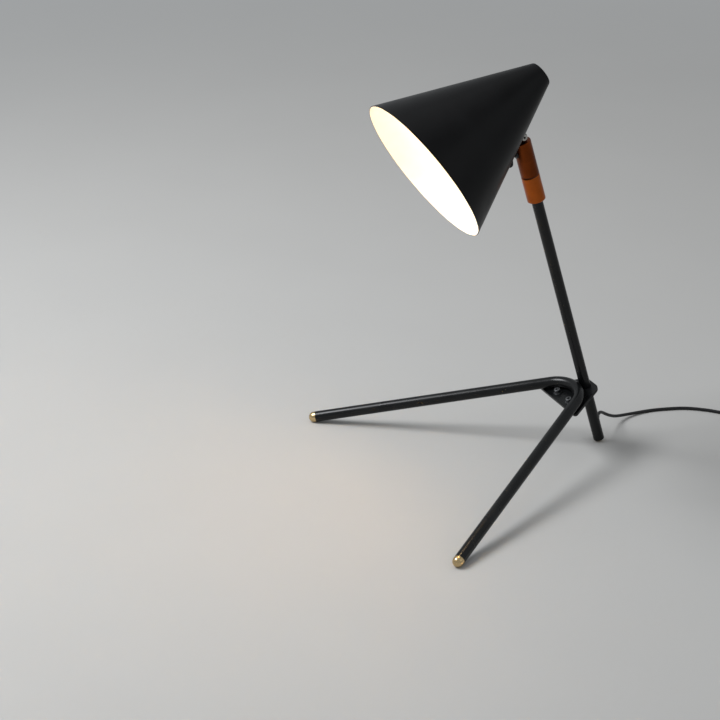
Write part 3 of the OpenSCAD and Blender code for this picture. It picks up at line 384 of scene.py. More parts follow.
def phenolic(name, colour, marbled):
    """Pressed phenolic resin: the eye sees a dark brown-black, lightly marbled, whose moulded
    gloss the bulb's heat has dulled."""
    material, tree = begin(name)
    vein, wave, depth = 3 * MM, 2.5 * MM, 0.004 * MM
    where = add(tree, "ShaderNodeTexCoord", "Object")
    veins = add(tree, "ShaderNodeTexNoise", "Fac", {"Vector": where, "Scale": 1 / vein, "Detail": 3})
    waves = add(tree, "ShaderNodeTexNoise", "Fac", {"Vector": where, "Scale": 1 / wave})
    share = add(tree, "ShaderNodeMapRange", "Result", {"Value": veins, "From Min": 0.35, "From Max": 0.75})
    tint = add(tree, "ShaderNodeMix", "Result", {
        "Factor": share, "A": (*colour, 1), "B": (*marbled, 1)}, data_type="RGBA")
    sheen = add(tree, "ShaderNodeMapRange", "Result", {
        "Value": veins, **NOISE_RANGE, "To Min": 0.42, "To Max": 0.5})
    bump = add(tree, "ShaderNodeBump", "Normal", {"Height": waves, "Strength": 1, "Distance": depth})
    shader = add(tree, "ShaderNodeBsdfPrincipled", "BSDF", {
        "Base Color": tint, "Roughness": sheen, "Normal": bump, "Specular IOR Level": 0.3})
    add(tree, "ShaderNodeOutputMaterial", None, {"Surface": shader})
    return material


def woven_strap(name, colour):
    """Woven nylon strap: threads 0.9 mm apart that cross, so that the strap reads as cloth, and the raised
    threads are painted lighter as a painted highlight. A wave texture of scale 1 has 20 waves in 2 pi metres."""
    material, tree = begin(name)
    thread, depth = 0.9 * MM, 0.12 * MM
    lit = [c * 2.2 + 0.003 for c in colour]
    where = add(tree, "ShaderNodeTexCoord", "Object")
    warp, weft = (add(tree, "ShaderNodeTexWave", "Fac", {
        "Vector": where, "Scale": 2 * math.pi / (20 * thread), "Distortion": 0.6, "Detail": 1,
    }, bands_direction=way) for way in ("Z", "DIAGONAL"))
    weave = add(tree, "ShaderNodeMath", "Value", {0: warp, 1: weft}, operation="MULTIPLY")
    tint = add(tree, "ShaderNodeMix", "Result", {
        "Factor": weave, "A": (*colour, 1), "B": (*lit, 1)}, data_type="RGBA")
    bump = add(tree, "ShaderNodeBump", "Normal", {"Height": weave, "Strength": 1, "Distance": depth})
    shader = add(tree, "ShaderNodeBsdfPrincipled", "BSDF", {
        "Base Color": tint, "Roughness": 0.8, "Normal": bump, "Sheen Weight": 0.25})
    add(tree, "ShaderNodeOutputMaterial", None, {"Surface": shader})
    return material


def opal_glass(name, glass, glow, strength):
    """Opal bulb glass, lit: a smooth white skin, faintly clouded, that glows evenly and warmly."""
    material, tree = begin(name)
    cloud = 18 * MM
    milky = [c * 0.95 for c in glass]
    where = add(tree, "ShaderNodeTexCoord", "Object")
    clouds = add(tree, "ShaderNodeTexNoise", "Fac", {"Vector": where, "Scale": 1 / cloud})
    share = add(tree, "ShaderNodeMapRange", "Result", {"Value": clouds, **NOISE_RANGE})
    tint = add(tree, "ShaderNodeMix", "Result", {
        "Factor": share, "A": (*glass, 1), "B": (*milky, 1)}, data_type="RGBA")
    shader = add(tree, "ShaderNodeBsdfPrincipled", "BSDF", {
        "Base Color": tint, "Roughness": 0.22, "Coat Weight": 0.4, "Coat Roughness": 0.08,
        "Emission Color": (*glow, 1), "Emission Strength": strength})
    add(tree, "ShaderNodeOutputMaterial", None, {"Surface": shader})
    return material


def matt_card(name, colour, wall):
    """The studio floor: pale matt card with the faintest cloudiness. From 0.8 to 2.8 m away from the
    lamp it passes into the plain colour of the wall, as a curved backdrop does."""
    material, tree = begin(name)
    cloud = 160 * MM
    duller = [c * 0.985 for c in colour]
    where = add(tree, "ShaderNodeTexCoord", "Object")
    clouds = add(tree, "ShaderNodeTexNoise", "Fac", {"Vector": where, "Scale": 1 / cloud})
    share = add(tree, "ShaderNodeMapRange", "Result", {"Value": clouds, **NOISE_RANGE})
    tint = add(tree, "ShaderNodeMix", "Result", {
        "Factor": share, "A": (*colour, 1), "B": (*duller, 1)}, data_type="RGBA")
    card = add(tree, "ShaderNodeBsdfPrincipled", "BSDF", {
        "Base Color": tint, "Roughness": 1, "Specular IOR Level": 0})
    plain = add(tree, "ShaderNodeEmission", "Emission", {"Color": (*wall, 1), "Strength": 1})
    away = add(tree, "ShaderNodeVectorMath", "Value", {0: where}, operation="LENGTH")
    far = add(tree, "ShaderNodeMapRange", "Result", {
        "Value": away, "From Min": 0.8, "From Max": 2.8}, interpolation_type="SMOOTHSTEP")
    shown = add(tree, "ShaderNodeMath", "Value", {0: far, 1: seen(tree)}, operation="MULTIPLY")
    mixed = add(tree, "ShaderNodeMixShader", "Shader", {0: shown, 1: card, 2: plain})
    add(tree, "ShaderNodeOutputMaterial", None, {"Surface": mixed})
    return material


def finish(name):
    """The lamp's material of that name, made at its first use from the panel's colours."""
    if name in bpy.data.materials:
        return bpy.data.materials[name]
    colours = bpy.context.scene.lamp_colours
    strength = bpy.context.scene.lamp_sizes.glow
    make, values = {
        "satin_black_paint": (satin_paint, dict(colour=colours.paint, rough=0.27, level=0.3)),
        "shade_black_paint": (satin_paint, dict(colour=colours.shade, rough=0.36, level=0.13)),
        "white_enamel": (white_enamel, dict(colour=colours.enamel)),
        "turned_copper_brass": (turned_metal, dict(
            bright=colours.copper_brass, dull=linear("#5e2d10"), rough=0.31, tilt=POLE_LEAN, tarnish=0.35)),
        # A darker copy of the knuckle's brass, for the swivel head and its tongue
        "darker_head_brass": (turned_metal, dict(
            bright=linear("#7e3c18"), dull=linear("#33190b"), rough=0.33, tilt=POLE_LEAN, tarnish=0.6)),
        "turned_brass": (turned_metal, dict(
            bright=colours.brass, dull=linear("#947448"), rough=0.24, tilt=0, tarnish=0.4)),
        "zinc_plate": (zinc_plate, dict(colour=linear("#c2c0ba"))),
        "black_zinc": (zinc_plate, dict(colour=linear("#77787a"))),
        "vulcanised_fibre": (moulded, dict(colour=linear("#2c2622"), rough=0.75, grain=0.9, depth=0.02)),
        "flexible_pvc": (moulded, dict(colour=colours.cord, rough=0.42, grain=1.6, depth=0.02)),
        # Near-black finish that paints the shade in the pin screw's recess
        "painted_recess_shade": (moulded, dict(colour=linear("#0c0b0a"), rough=0.4, grain=1, depth=0.01)),
        "grained_plastic": (moulded, dict(colour=linear("#191919"), rough=0.5)),
        "polished_plastic": (moulded, dict(colour=linear("#202021"), rough=0.24, grain=2, depth=0.004)),
        "phenolic_resin": (phenolic, dict(colour=linear("#17120f"), marbled=linear("#211914"))),
        "nylon_strap": (woven_strap, dict(colour=linear("#1c1c1e"))),
        "lit_opal_glass": (opal_glass, dict(glass=linear("#f6f1e6"), glow=colours.glow, strength=strength)),
        "matt_card": (matt_card, dict(colour=colours.floor, wall=colours.wall)),
    }[name]
    return make(name, **values)


# Surfaces worked out with numpy

def turned(profile, sides):
    """A surface of revolution: each (radius, height) in millimetres goes round the Z axis."""
    radius, height = np.hsplit(np.asarray(profile, float) * MM, 2)
    angle = np.arange(sides) * 2 * np.pi / sides
    return np.stack([radius * np.cos(angle), radius * np.sin(angle), height + 0 * angle], -1)


def parabola(start, corner, stop, t):
    """The curve that leaves start and reaches stop along the two sides of a corner, at shares t."""
    return (1 - t) ** 2 * np.asarray(start) + 2 * t * (1 - t) * np.asarray(corner) + t ** 2 * np.asarray(stop)


def arc(middle, radius, first, last, count):
    """Points on a circle in a plane, at even steps from one angle in degrees to another."""
    angle = np.radians(np.linspace(first, last, count))
    return np.asarray(middle, float) + radius * np.stack([np.cos(angle), np.sin(angle)], 1)


def in_space(points):
    """Points of the XZ plane as points in space."""
    return np.insert(np.asarray(points, float), 1, 0, axis=1)


def lengths(path):
    """Length of a path up to each of its points: the running sum of its steps."""
    return np.concatenate([[0], np.cumsum(np.linalg.norm(np.diff(path, axis=0), axis=1))])


def smooth(points, step):
    """A cubic through every point of a path, with each point's slope taken from its two
    neighbours, read off every step metres."""
    points = np.asarray(points, float)
    run = lengths(points)
    slope = np.gradient(points, run, axis=0)
    at = np.linspace(0, run[-1], max(2, int(run[-1] / step) + 1))
    i = np.clip(np.searchsorted(run, at, "right") - 1, 0, len(run) - 2)
    span = (run[i + 1] - run[i])[:, None]
    t = (at[:, None] - run[i][:, None]) / span
    return ((2 * t ** 3 - 3 * t ** 2 + 1) * points[i] + (t ** 3 - 2 * t ** 2 + t) * span * slope[i]
            + (3 * t ** 2 - 2 * t ** 3) * points[i + 1] + (t ** 3 - t ** 2) * span * slope[i + 1])


def along_path(path, radius, sides, across):
    """A circle carried along a path, square to its heading. across is a direction that is
    never parallel to the path, and radius is one number, and either may be given for each
    point of the path."""
    heading = np.gradient(path, axis=0)
    heading /= np.linalg.norm(heading, axis=1)[:, None]
    side = np.cross(heading, across)
    side /= np.linalg.norm(side, axis=1)[:, None]
    up = np.cross(side, heading)
    angle = np.arange(sides)[None, :, None] * 2 * np.pi / sides
    radius = np.broadcast_to(radius, len(path))[:, None, None]
    return path[:, None] + radius * (np.cos(angle) * side[:, None] + np.sin(angle) * up[:, None])


def capped(rings):
    """Rings with a middle point added before the first and after the last, to close the ends."""
    first = np.repeat(rings[:1].mean(1, keepdims=True), rings.shape[1], 1)
    last = np.repeat(rings[-1:].mean(1, keepdims=True), rings.shape[1], 1)
    return np.concatenate([first, rings, last])


def skin(name, rings, loop=False, parts=None):
    """A closed mesh over rings of points: each ring joins itself, and the last ring joins the
    first where loop is set. A ring whose points all meet becomes one point. parts gives each
    strip between two rings its material index. The faces are turned to point out: the mesh's
    volume is the sum of its faces' volumes seen from the origin, and has to be positive."""
    count, sides = rings.shape[:2]
    index = np.arange(count * sides).reshape(count, sides)
    same_place = 1e-9
    met = np.ptp(rings, axis=1).max(1) < same_place
    index[met] = index[met][:, :1]
    rows = np.arange(count if loop else count - 1)
    here, there = index[rows], index[(rows + 1) % count]
    faces = np.stack([here, there, np.roll(there, -1, 1), np.roll(here, -1, 1)], -1)
    used, faces = np.unique(faces, return_inverse=True)
    faces = faces.reshape(-1, 4)
    points = rings.reshape(-1, 3)[used]
    first, second, third, fourth = points[faces].transpose(1, 0, 2)
    if np.sum(first * (np.cross(second, third) + np.cross(third, fourth))) < 0:
        faces = faces[:, ::-1]

    # A corner that meets the next one is left out, which makes a triangle at a pole
    kept = faces != np.roll(faces, -1, 1)
    corners = faces[kept].astype(np.int32)
    counts = kept.sum(1)
    mesh = bpy.data.meshes.new(name)
    mesh.vertices.add(len(points))
    mesh.vertices.foreach_set("co", points.ravel())
    mesh.loops.add(len(corners))
    mesh.loops.foreach_set("vertex_index", corners)
    mesh.polygons.add(len(faces))
    mesh.polygons.foreach_set("loop_start", (np.cumsum(counts) - counts).astype(np.int32))
    mesh.polygons.foreach_set("use_smooth", np.ones(len(faces), bool))
    if parts is not None:
        mesh.polygons.foreach_set("material_index", np.repeat(parts, sides).astype(np.int32))
    mesh.update(calc_edges=True)
    mesh.validate()
    return mesh


def piece(mesh, body, finishes, nodes, crease):
    """Makes a mesh a piece of the lamp: its finishes, its body, and the CAD
    nodes that it stands for. Edges sharper than crease degrees stay crisp."""
    obj = bpy.data.objects.new(mesh.name, mesh)
    bpy.context.scene.collection.objects.link(obj)
    for one in finishes:
        mesh.materials.append(finish(one))
    mesh.set_sharp_from_angle(angle=math.radians(crease))
    if body:
        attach(obj, body)
    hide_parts(*nodes)
    return obj


def softened(name, node, finish_name, share):
    """A CAD node's own faces in a new piece: doubles merged, flat areas joined, and every crisp
    edge rounded by a bevel that is a share of the panel's edge wide."""
    same_place, flat, crisp = 2e-7, math.radians(0.6), 32
    source = frame["nodes"][node]
    bm = bmesh.new()
    bm.from_mesh(source.data)
    bmesh.ops.remove_doubles(bm, verts=bm.verts, dist=same_place)
    bmesh.ops.dissolve_limit(bm, angle_limit=flat, verts=bm.verts, edges=bm.edges)
    mesh = bpy.data.meshes.new(name)
    bm.to_mesh(mesh)
    bm.free()
    mesh.materials.clear()
    mesh.polygons.foreach_set("material_index", np.zeros(len(mesh.polygons), np.int32))
    mesh.polygons.foreach_set("use_smooth", np.ones(len(mesh.polygons), bool))
    obj = piece(mesh, source["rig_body"], [finish_name], [node], crisp)
    bevel = obj.modifiers.new("eased_edges", "BEVEL")
    bevel.width = share * bpy.context.scene.lamp_sizes.edge
    bevel.segments = 2
    bevel.limit_method = "ANGLE"
    bevel.angle_limit = math.radians(crisp)
    bevel.harden_normals = True
    return obj


# What the panel shows

class LampSizes(bpy.types.PropertyGroup):
    """Sizes of the finish, which leave the CAD model's own sizes alone."""

    edge: FloatProperty(name="Eased edge", description="Rounding of a metal edge of middle size",
                        default=0.00025, min=0.00005, max=0.0005, unit="LENGTH")
    cord: FloatProperty(name="Cord", description="Diameter of the mains cord and of the leads",
                        default=CORD * MM, min=0.003, max=0.0037, unit="LENGTH")
    cord_sides: IntProperty(name="Cord sides", description="Faces round the cord",
                            default=14, min=8, max=32)
    shade_sides: IntProperty(name="Shade sides", description="Faces round the shade",
                             default=192, min=48, max=256)
    glow: FloatProperty(name="Bulb glow", description="Strength of the bulb's light",
                        default=32, min=0, max=80)


class LampColours(bpy.types.PropertyGroup):
    """Colours of the lamp and of the studio."""

    paint: FloatVectorProperty(name="Stand paint", description="Satin paint of the tubes and the plate",
                               subtype="COLOR", default=linear("#090a0b"), min=0, max=1)
    shade: FloatVectorProperty(name="Shade paint", description="Satin paint outside the shade",
                               subtype="COLOR", default=linear("#060607"), min=0, max=1)
    enamel: FloatVectorProperty(name="Enamel", description="White enamel inside the shade",
                                subtype="COLOR", default=linear("#f2efe8"), min=0, max=1)
    copper_brass: FloatVectorProperty(name="Knuckle", description="Copper-toned brass of the knuckle",
                                      subtype="COLOR", default=linear("#b65e26"), min=0, max=1)
    brass: FloatVectorProperty(name="Feet", description="Brass of the three feet",
                               subtype="COLOR", default=linear("#d9c092"), min=0, max=1)
    cord: FloatVectorProperty(name="Cord", description="PVC of the cord and the grommets",
                              subtype="COLOR", default=linear("#0f0f10"), min=0, max=1)
    glow: FloatVectorProperty(name="Light", description="Colour of the bulb's light",
                              subtype="COLOR", default=linear("#ffdaaa"), min=0, max=1)
    floor: FloatVectorProperty(name="Floor", description="Card that the lamp stands on",
                               subtype="COLOR", default=linear("#b9b8b5"), min=0, max=1)
    wall: FloatVectorProperty(name="Wall", description="Plain wall behind the lamp",
                              subtype="COLOR", default=linear("#a5a8aa"), min=0, max=1)


# Operators

class LAMP_OT_stage(bpy.types.Operator):
    """Camera at the photograph's angle, pale floor and soft studio light"""

    bl_idname = "lamp.stage"
    bl_label = "Stage"

    def execute(self, context):
        scene = context.scene
        scene.view_settings.view_transform = "Standard"
        self.camera(scene)
        self.floor(scene)
        self.softbox(scene, "key", at=(1.35, -0.54, 1.62), size=(1, 0.75), power=36, colour=(0.95, 0.97, 1))
        self.softbox(scene, "fill", at=(-1.3, 1.6, 1.5), size=(1.6, 1.6), power=3, colour=(0.95, 0.98, 1))
        self.softbox(scene, "top", at=(0.1, -0.3, 2.2), size=(1.6, 1.6), power=2.5, colour=(1, 1, 1))
        self.sky(scene)
        return {"FINISHED"}

    def camera(self, scene):
        """The photograph's camera. Its up is square to its right and to the way it looks."""
        camera = bpy.data.objects.new("camera", bpy.data.cameras.new("camera"))
        scene.collection.objects.link(camera)
        camera.data.sensor_width = CAMERA_SENSOR
        camera.data.lens = CAMERA_LENS
        camera.data.clip_start = 0.05
        camera.data.clip_end = 30
        right = np.array(CAMERA_RIGHT)
        back = np.array(CAMERA_BACK) / np.linalg.norm(CAMERA_BACK)
        place = np.eye(4)
        place[:3] = np.stack([right, np.cross(back, right), back, CAMERA_PLACE], 1)
        camera.matrix_world = Matrix(place.tolist())
        scene.camera = camera

    def floor(self, scene):
        """A flat disc of 6 m radius, in rings, so that its middle has smaller faces."""
        radii = np.array([0, 1000, 2500, 6000])
        mesh = skin("floor", turned(np.stack([radii, 0 * radii], 1), 64))
        mesh.materials.append(finish("matt_card"))
        if mesh.polygons[0].normal.z < 0:
            mesh.flip_normals()
        floor = bpy.data.objects.new("floor", mesh)
        scene.collection.objects.link(floor)
        floor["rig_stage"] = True

    def softbox(self, scene, name, at, size, power, colour):
        """A softbox, so wide and so high, that faces the middle of the lamp."""
        data = bpy.data.lights.new(name, "AREA")
        data.shape = "RECTANGLE"
        data.size, data.size_y = size
        data.energy = power
        data.color = colour
        obj = bpy.data.objects.new(name, data)
        scene.collection.objects.link(obj)
        way = Vector((0.1, 0, 0.2)) - Vector(at)
        obj.matrix_world = Matrix.Translation(at) @ way.to_track_quat("-Z", "Y").to_matrix().to_4x4()

    def sky(self, scene):
        """Dim even light from all round, and a pale grey background where it is seen directly,
        in a reflection or through glass."""
        world = bpy.data.worlds.new("studio")
        scene.world = world
        world.use_nodes = True
        tree = world.node_tree
        tree.nodes.clear()
        light = add(tree, "ShaderNodeBackground", "Background", {
            "Color": (0.93, 0.96, 1, 1), "Strength": 0.4})
        wall = add(tree, "ShaderNodeBackground", "Background", {
            "Color": (*scene.lamp_colours.wall, 1), "Strength": 1})
        mixed = add(tree, "ShaderNodeMixShader", "Shader", {0: seen(tree), 1: light, 2: wall})
        add(tree, "ShaderNodeOutputWorld", None, {"Surface": mixed})


class LAMP_OT_cord(bpy.types.Operator):
    """The whole mains cord: from the pole along the table, through the switch, round the coil
    and into the plug"""

    bl_idname = "lamp.cord"
    bl_label = "Mains cord"

    def execute(self, context):
        sizes = context.scene.lamp_sizes
        start, way = self.exit_of_pole()
        angle = math.radians(SWITCH_HEADING)
        ahead = np.array([math.cos(angle), math.sin(angle), 0])
        aside = np.array([-math.sin(angle), math.cos(angle), 0])
        switch = np.array(SWITCH_AT)
        inlet, outlet = switch - SWITCH_HALF * ahead, switch + SWITCH_HALF * ahead
        coil_start = switch * [1, 1, 0] + (SWITCH_HALF + COIL_LEAD_IN) * ahead
        coil, after = self.coil(coil_start + COIL_REACH * aside)
        before = [inlet - 2.6 * CORD * (ahead + [0, 0, 0.1]), inlet - CORD * ahead, inlet]
        middle = [switch, outlet, outlet + CORD * ahead, (outlet + coil[0]) / 2 + [0, 0, 0.2]]
        points = np.vstack([start, start + CORD * way, CORD_ROUTE, before, middle, coil, after])
        path = smooth(points * MM, 0.0022)
        mesh = skin("mains_cord", capped(along_path(path, sizes.cord / 2, sizes.cord_sides, (0, 0, 1))))
        obj = piece(mesh, "stand", ["flexible_pvc"], ["cord_run", "cord_coil"], 60)
        return {"FINISHED"}

    def exit_of_pole(self):
        """Where the cord leaves the snout, in millimetres, and its heading there: level in the
        pole's own frame, at the snout's angle round the pole."""
        angle = math.radians(CORD_TURN)
        out = np.array([math.cos(angle), math.sin(angle), 0])
        start = put((SNOUT_OUT * out + [0, 0, CORD_RISE]) * MM, POLE) / MM
        return start, put(out, POLE) - put([0, 0, 0], POLE)

    def coil(self, middle):
        """The coil: a spiral that winds in and out by the same turns in each layer and climbs one cord
        at each change of layer. The radius falls with the folded turn count, and the height
        rises by a smooth step over half a turn. Then the last turn leads down into the plug."""
        points_a_turn = 24
        turns = np.arange(round(points_a_turn * COIL_TURNS * COIL_LAYERS) + 1) / points_a_turn
        layer = turns / COIL_TURNS
        radius = COIL_OUTSIDE - COIL_STEP * COIL_TURNS * (1 - np.abs(layer % 2 - 1))
        change = np.round(layer)
        share = np.clip((turns - change * COIL_TURNS) / 0.5 + 0.5, 0, 1)
        climb = np.clip(change - 1 + share * share * (3 - 2 * share), 0, COIL_LAYERS - 1)
        angle = np.radians(SWITCH_HEADING - 90 + 360 * turns)
        height = COIL_LIE + COIL_STEP * climb
        coil = middle + np.stack([radius * np.cos(angle), radius * np.sin(angle), height], 1)
        end, way = coil[-1], np.array([-np.sin(angle[-1]), np.cos(angle[-1]), 0])
        mouth = end + PLUG_LEAD * way
        mouth[2] = PLUG_RISE
        drop = [0, 0, 0.62 * (PLUG_RISE - end[2])]
        return coil, [end + 7 * way - [0, 0, 1], end + 13 * way + drop,
                      mouth - 1.6 * CORD * way + [0, 0, 0.2], mouth - CORD * way, mouth]


class LAMP_OT_shade(bpy.types.Operator):
    """Spun cone of the shade, black outside and white inside, and its domed lid"""

    bl_idname = "lamp.shade"
    bl_label = "Shade"

    def execute(self, context):
        self.cone(context.scene.lamp_sizes.shade_sides)
        self.lid()
        return {"FINISHED"}

    def cone(self, sides):
        """The wall's outline goes round the shade's axis. It climbs the outside to a rounded rim,
        comes back down the inside to the holder's shelf, and goes through the shelf's hole and out
        along its underside. Each stretch has the finish of the point where it starts."""
        low, seat, shelf, bore, steps = 1.7, 6, 7.2, 5.15, 9
        rim = [CONE_RIM, CONE_LENGTH] - np.array([[0.2, 0.4], [0.3, 0.05], [0.55, 0],
                                                  [0.8, 0], [1.05, 0.08], [1.13, 0.4]])
        inner = CONE_TOP - SKIN
        black = [*np.linspace([CONE_TOP + low * TAN, low], rim[0], steps), *rim[1:3]]
        white = [*rim[3:5], *np.linspace(rim[5], [inner + shelf * TAN, shelf], steps)]
        under = [[bore, shelf], [bore, seat], [inner + seat * TAN, seat], [inner + low * TAN, low]]
        parts = [0] * len(black) + [1] * len(white) + [0] * len(under)
        mesh = skin("shade_cone", put(turned(black + white + under, sides), SHADE), loop=True, parts=parts)
        piece(mesh, "shade", ["shade_black_paint", "white_enamel"], ["shade_shell"], 40)

    def lid(self):
        """A shallow parabola for the dome, a second one that turns down to the cone's edge, and a
        spigot that plugs the cone."""
        flat, dome_rise, dome_drop, edge, skirt = 11.3, 0.7, 0.082, 1.6, 3.4
        t = np.linspace(0, 1, 13)[:, None]
        dome = np.hstack([flat * t, -dome_rise * (1 - (0.94 * t) ** 2)])
        rim = [CONE_TOP + edge * TAN, edge]
        bend = parabola([flat, -dome_drop], [CONE_TOP, 0], rim, t)
        plug = rim[0] - SKIN - 0.1
        spigot = [[plug, edge], [plug, skirt], [plug - 1, skirt], [plug - 1, edge], [0, 1]]
        mesh = skin("shade_lid", put(turned(np.vstack([dome[:-1], bend, spigot]), 96), SHADE))
        piece(mesh, "shade", ["shade_black_paint"], ["end_cap"], 50)


class LAMP_OT_legs(bpy.types.Operator):
    """Bent tube of the two front legs"""

    bl_idname = "lamp.legs"
    bl_label = "Legs"

    def execute(self, context):
        # A straight leg, the arc of the bend and the other leg, which is the first one mirrored.
        # The tube's outside runs along it and its inside comes back, and both ends are eased.
        tip, near, ease, sides = LEG_LENGTH - TIP_SHOW, 8, 0.2, 48
        bend = arc([BEND_X, 0], BEND_RADIUS, 90 + LEG_HALF, 270 - LEG_HALF, 41)
        half = math.radians(LEG_HALF)
        out = np.array([tip, tip - ease, *np.linspace(tip, near, 12)[1:]])[:, None]
        leg = bend[0] + out * [math.cos(half), math.sin(half)]
        flat = np.vstack([leg, bend, leg[::-1] * [1, -1]])
        path = np.insert(flat, 2, 0, axis=1) * MM
        radius = np.full(len(path), TUBE_RADIUS * MM)
        radius[[0, -1]] -= ease * MM
        outside = along_path(path, radius, sides, (0, 0, 1))
        inside = along_path(path, (TUBE_RADIUS - TUBE_WALL) * MM, sides, (0, 0, 1))[::-1]
        mesh = skin("leg_tube", put(np.concatenate([outside, inside]), LEGS), loop=True)
        piece(mesh, "stand", ["satin_black_paint"], ["leg_frame"], 40)
        return {"FINISHED"}


class LAMP_OT_metalwork(bpy.types.Operator):
    """Plate, knuckle, hinge and screws, with their edges eased"""

    bl_idname = "lamp.metalwork"
    bl_label = "Plate, knuckle and hinge"

    def execute(self, context):
        for name, node, finish_name, slot, share in (
            ("plate", "hub_plate", "satin_black_paint", "black_paint", 1.4),
            ("flange", "pole_flange", "satin_black_paint", "black_paint", 1.2),
            ("plate_screws", "hub_screws", "black_zinc", "zinc_steel", 0.6),
            ("plate_washers", "hub_washers", "black_zinc", "zinc_steel", 0.48),
            ("plate_nuts", "hub_nuts", "black_zinc", "zinc_steel", 0.8),
            ("sleeve", "knuckle_sleeve", "turned_copper_brass", "copper_brass", 0.72),
            # The swivel head and tongue take the same brass, only darker
            ("swivel_head", "knuckle_head", "darker_head_brass", "copper_brass", 0.72),
            ("tongue", "hinge_eye", "darker_head_brass", "copper_brass", 1),
            ("bracket", "shade_bracket", "satin_black_paint", "black_paint", 0.8),
            ("pin_nut", "hinge_nut", "zinc_plate", "zinc_steel", 0.8),
        ):
            softened(name, node, finish_name, share)
        # The pin screw's recess gets a near-black finish: painted shade, not a real deposit
        self.paint_recess_shade(softened("pin_screw", "hinge_screw", "zinc_plate", 0.6))
        return {"FINISHED"}

    def paint_recess_shade(self, screw):
        """Painted shade in the recess of the pin screw's head: the faces whose corners all lie
        close to the pin's axis, on the head's side of it, get a second, near-black finish that paints the
        shade there."""
        close, far = 1.3 * MM, 1.0
        mesh = screw.data
        mesh.materials.append(finish("painted_recess_shade"))
        corners = np.empty(len(mesh.vertices) * 3)
        mesh.vertices.foreach_get("co", corners)
        off = corners.reshape(-1, 3) - PIN[:3, 3]
        ahead = off @ HEAD_SIDE
        gap = np.where(ahead > 0, np.linalg.norm(off - ahead[:, None] * HEAD_SIDE, axis=1), far)
        loops, starts = np.empty(len(mesh.loops), np.int32), np.empty(len(mesh.polygons), np.int32)
        mesh.loops.foreach_get("vertex_index", loops)
        mesh.polygons.foreach_get("loop_start", starts)
        recess = np.maximum.reduceat(gap[loops], starts) < close
        mesh.polygons.foreach_set("material_index", recess.astype(np.int32))


class LAMP_OT_leads(bpy.types.Operator):
    """The lead's slack loop between knuckle and shade, and its run inside the shade"""

    bl_idname = "lamp.leads"
    bl_label = "Leads"

    def execute(self, context):
        radius = context.scene.lamp_sizes.cord / 2
        entry = np.array([CONE_TOP + ENTRY_ALONG * SIN, ENTRY_ALONG * COS])
        self.slack(entry, radius)
        self.inner(entry, radius)
        return {"FINISHED"}

    def inner(self, entry, radius):
        """The lead in the shade, in the plane of radius and height: in through the wall, round
        an arc, down beside the lampholder, and round a second arc into its foot."""
        inward, down = np.array([-COS, SIN]), -np.array([SIN, COS])
        wide, tight, low = 5, 4, 6.5
        way_in = entry + 2 * inward
        beside = HOLDER_RADIUS + CORD / 2 + 0.6
        flat = np.vstack([
            way_in,
            arc(way_in + CORD * inward + wide * down, wide, 90 - FLARE, 178 - FLARE, 6),
            [beside + 1.2, HOLDER_LOW + 0.6 * HOLDER_LENGTH],
            [beside, HOLDER_LOW + 0.45 * HOLDER_LENGTH],
            arc([beside - tight, HOLDER_LOW + low + tight], tight, 0, -90, 6)])
        path = smooth(put(in_space(flat) * MM, SHADE), 0.001)
        mesh = skin("inner_lead", capped(along_path(path, radius, 16, HEAD_SIDE)))
        piece(mesh, "shade", ["flexible_pvc"], ["shade_lead"], 60)

    def slack(self, entry, radius):
        """The slack loop from the bush to the shade's grommet. As the length along the lead grows, the
        rings' reference direction turns from the head's side towards X and back. The mesh lies
        unrolled along X while its object's place is baked into it, and then takes its bent shape."""
        path, out, near = self.slack_path(entry)
        run = lengths(path)
        first, last = (run[np.argmin(np.linalg.norm(path - place, axis=1))] for place in (out, near))
        share = np.clip((run - first) / (last - first), 0, 1)
        across = HEAD_SIDE + np.sin(np.pi * share)[:, None] ** 2 * (np.array([1, 0, 0]) - HEAD_SIDE)
        mesh = skin("slack_lead", capped(along_path(path, radius, 20, across)))
        line = np.stack([run, 0 * run, 0 * run], 1)
        unrolled = skin("unrolled_lead", capped(along_path(line, radius, 20, (0, 0, 1))))
        obj = piece(mesh, None, ["flexible_pvc"], ["flex_lead"], 60)
        bent, flat = np.empty(len(mesh.vertices) * 3), np.empty(len(mesh.vertices) * 3)
        mesh.vertices.foreach_get("co", bent)
        unrolled.vertices.foreach_get("co", flat)
        mesh.vertices.foreach_set("co", flat)
        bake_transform(obj)
        mesh.vertices.foreach_set("co", bent)
        mesh.update()
        bpy.data.meshes.remove(unrolled)

    def slack_path(self, entry):
        """The lead's path, and where it leaves the bush and meets the grommet: up inside the
        knuckle, round an arc of two diameters, out of the bush, through a hanging loop of
        points given from the places that they lie near, and in through the shade."""
        bend = 2 * CORD
        inside_head = [[0, LEAD_LOW], *arc([bend, BUSH_RISE - bend], bend, 180, 90, 6),
                       [BUSH_OUT, BUSH_RISE], [BUSH_OUT + CORD, BUSH_RISE]]
        inside_head = put(in_space(inside_head) * MM, HEAD) / MM
        inside_shade = [entry + away * np.array([COS, -SIN]) for away in (6, 2.4, -2)]
        far, near, end = put(in_space(inside_shade) * MM, SHADE) / MM
        out = inside_head[-1]
        foot = np.array([(out[0] + far[0]) / 2, out[1], min(out[2], far[2]) - 9.5])
        loop = [out + [1.5, 0.9, -1.3], out + [1.9, 2.3, -4.2], foot + [-0.5, 2, 1.6], foot + [0.6, -0.2, 0],
                foot + [1.6, -2.3, 1.9], far + [-0.2, -2.2, -4.6], far + [-1.6, -0.9, -2.2]]
        return smooth(np.vstack([inside_head, loop, far, near, end]) * MM, 0.0007), out * MM, near * MM


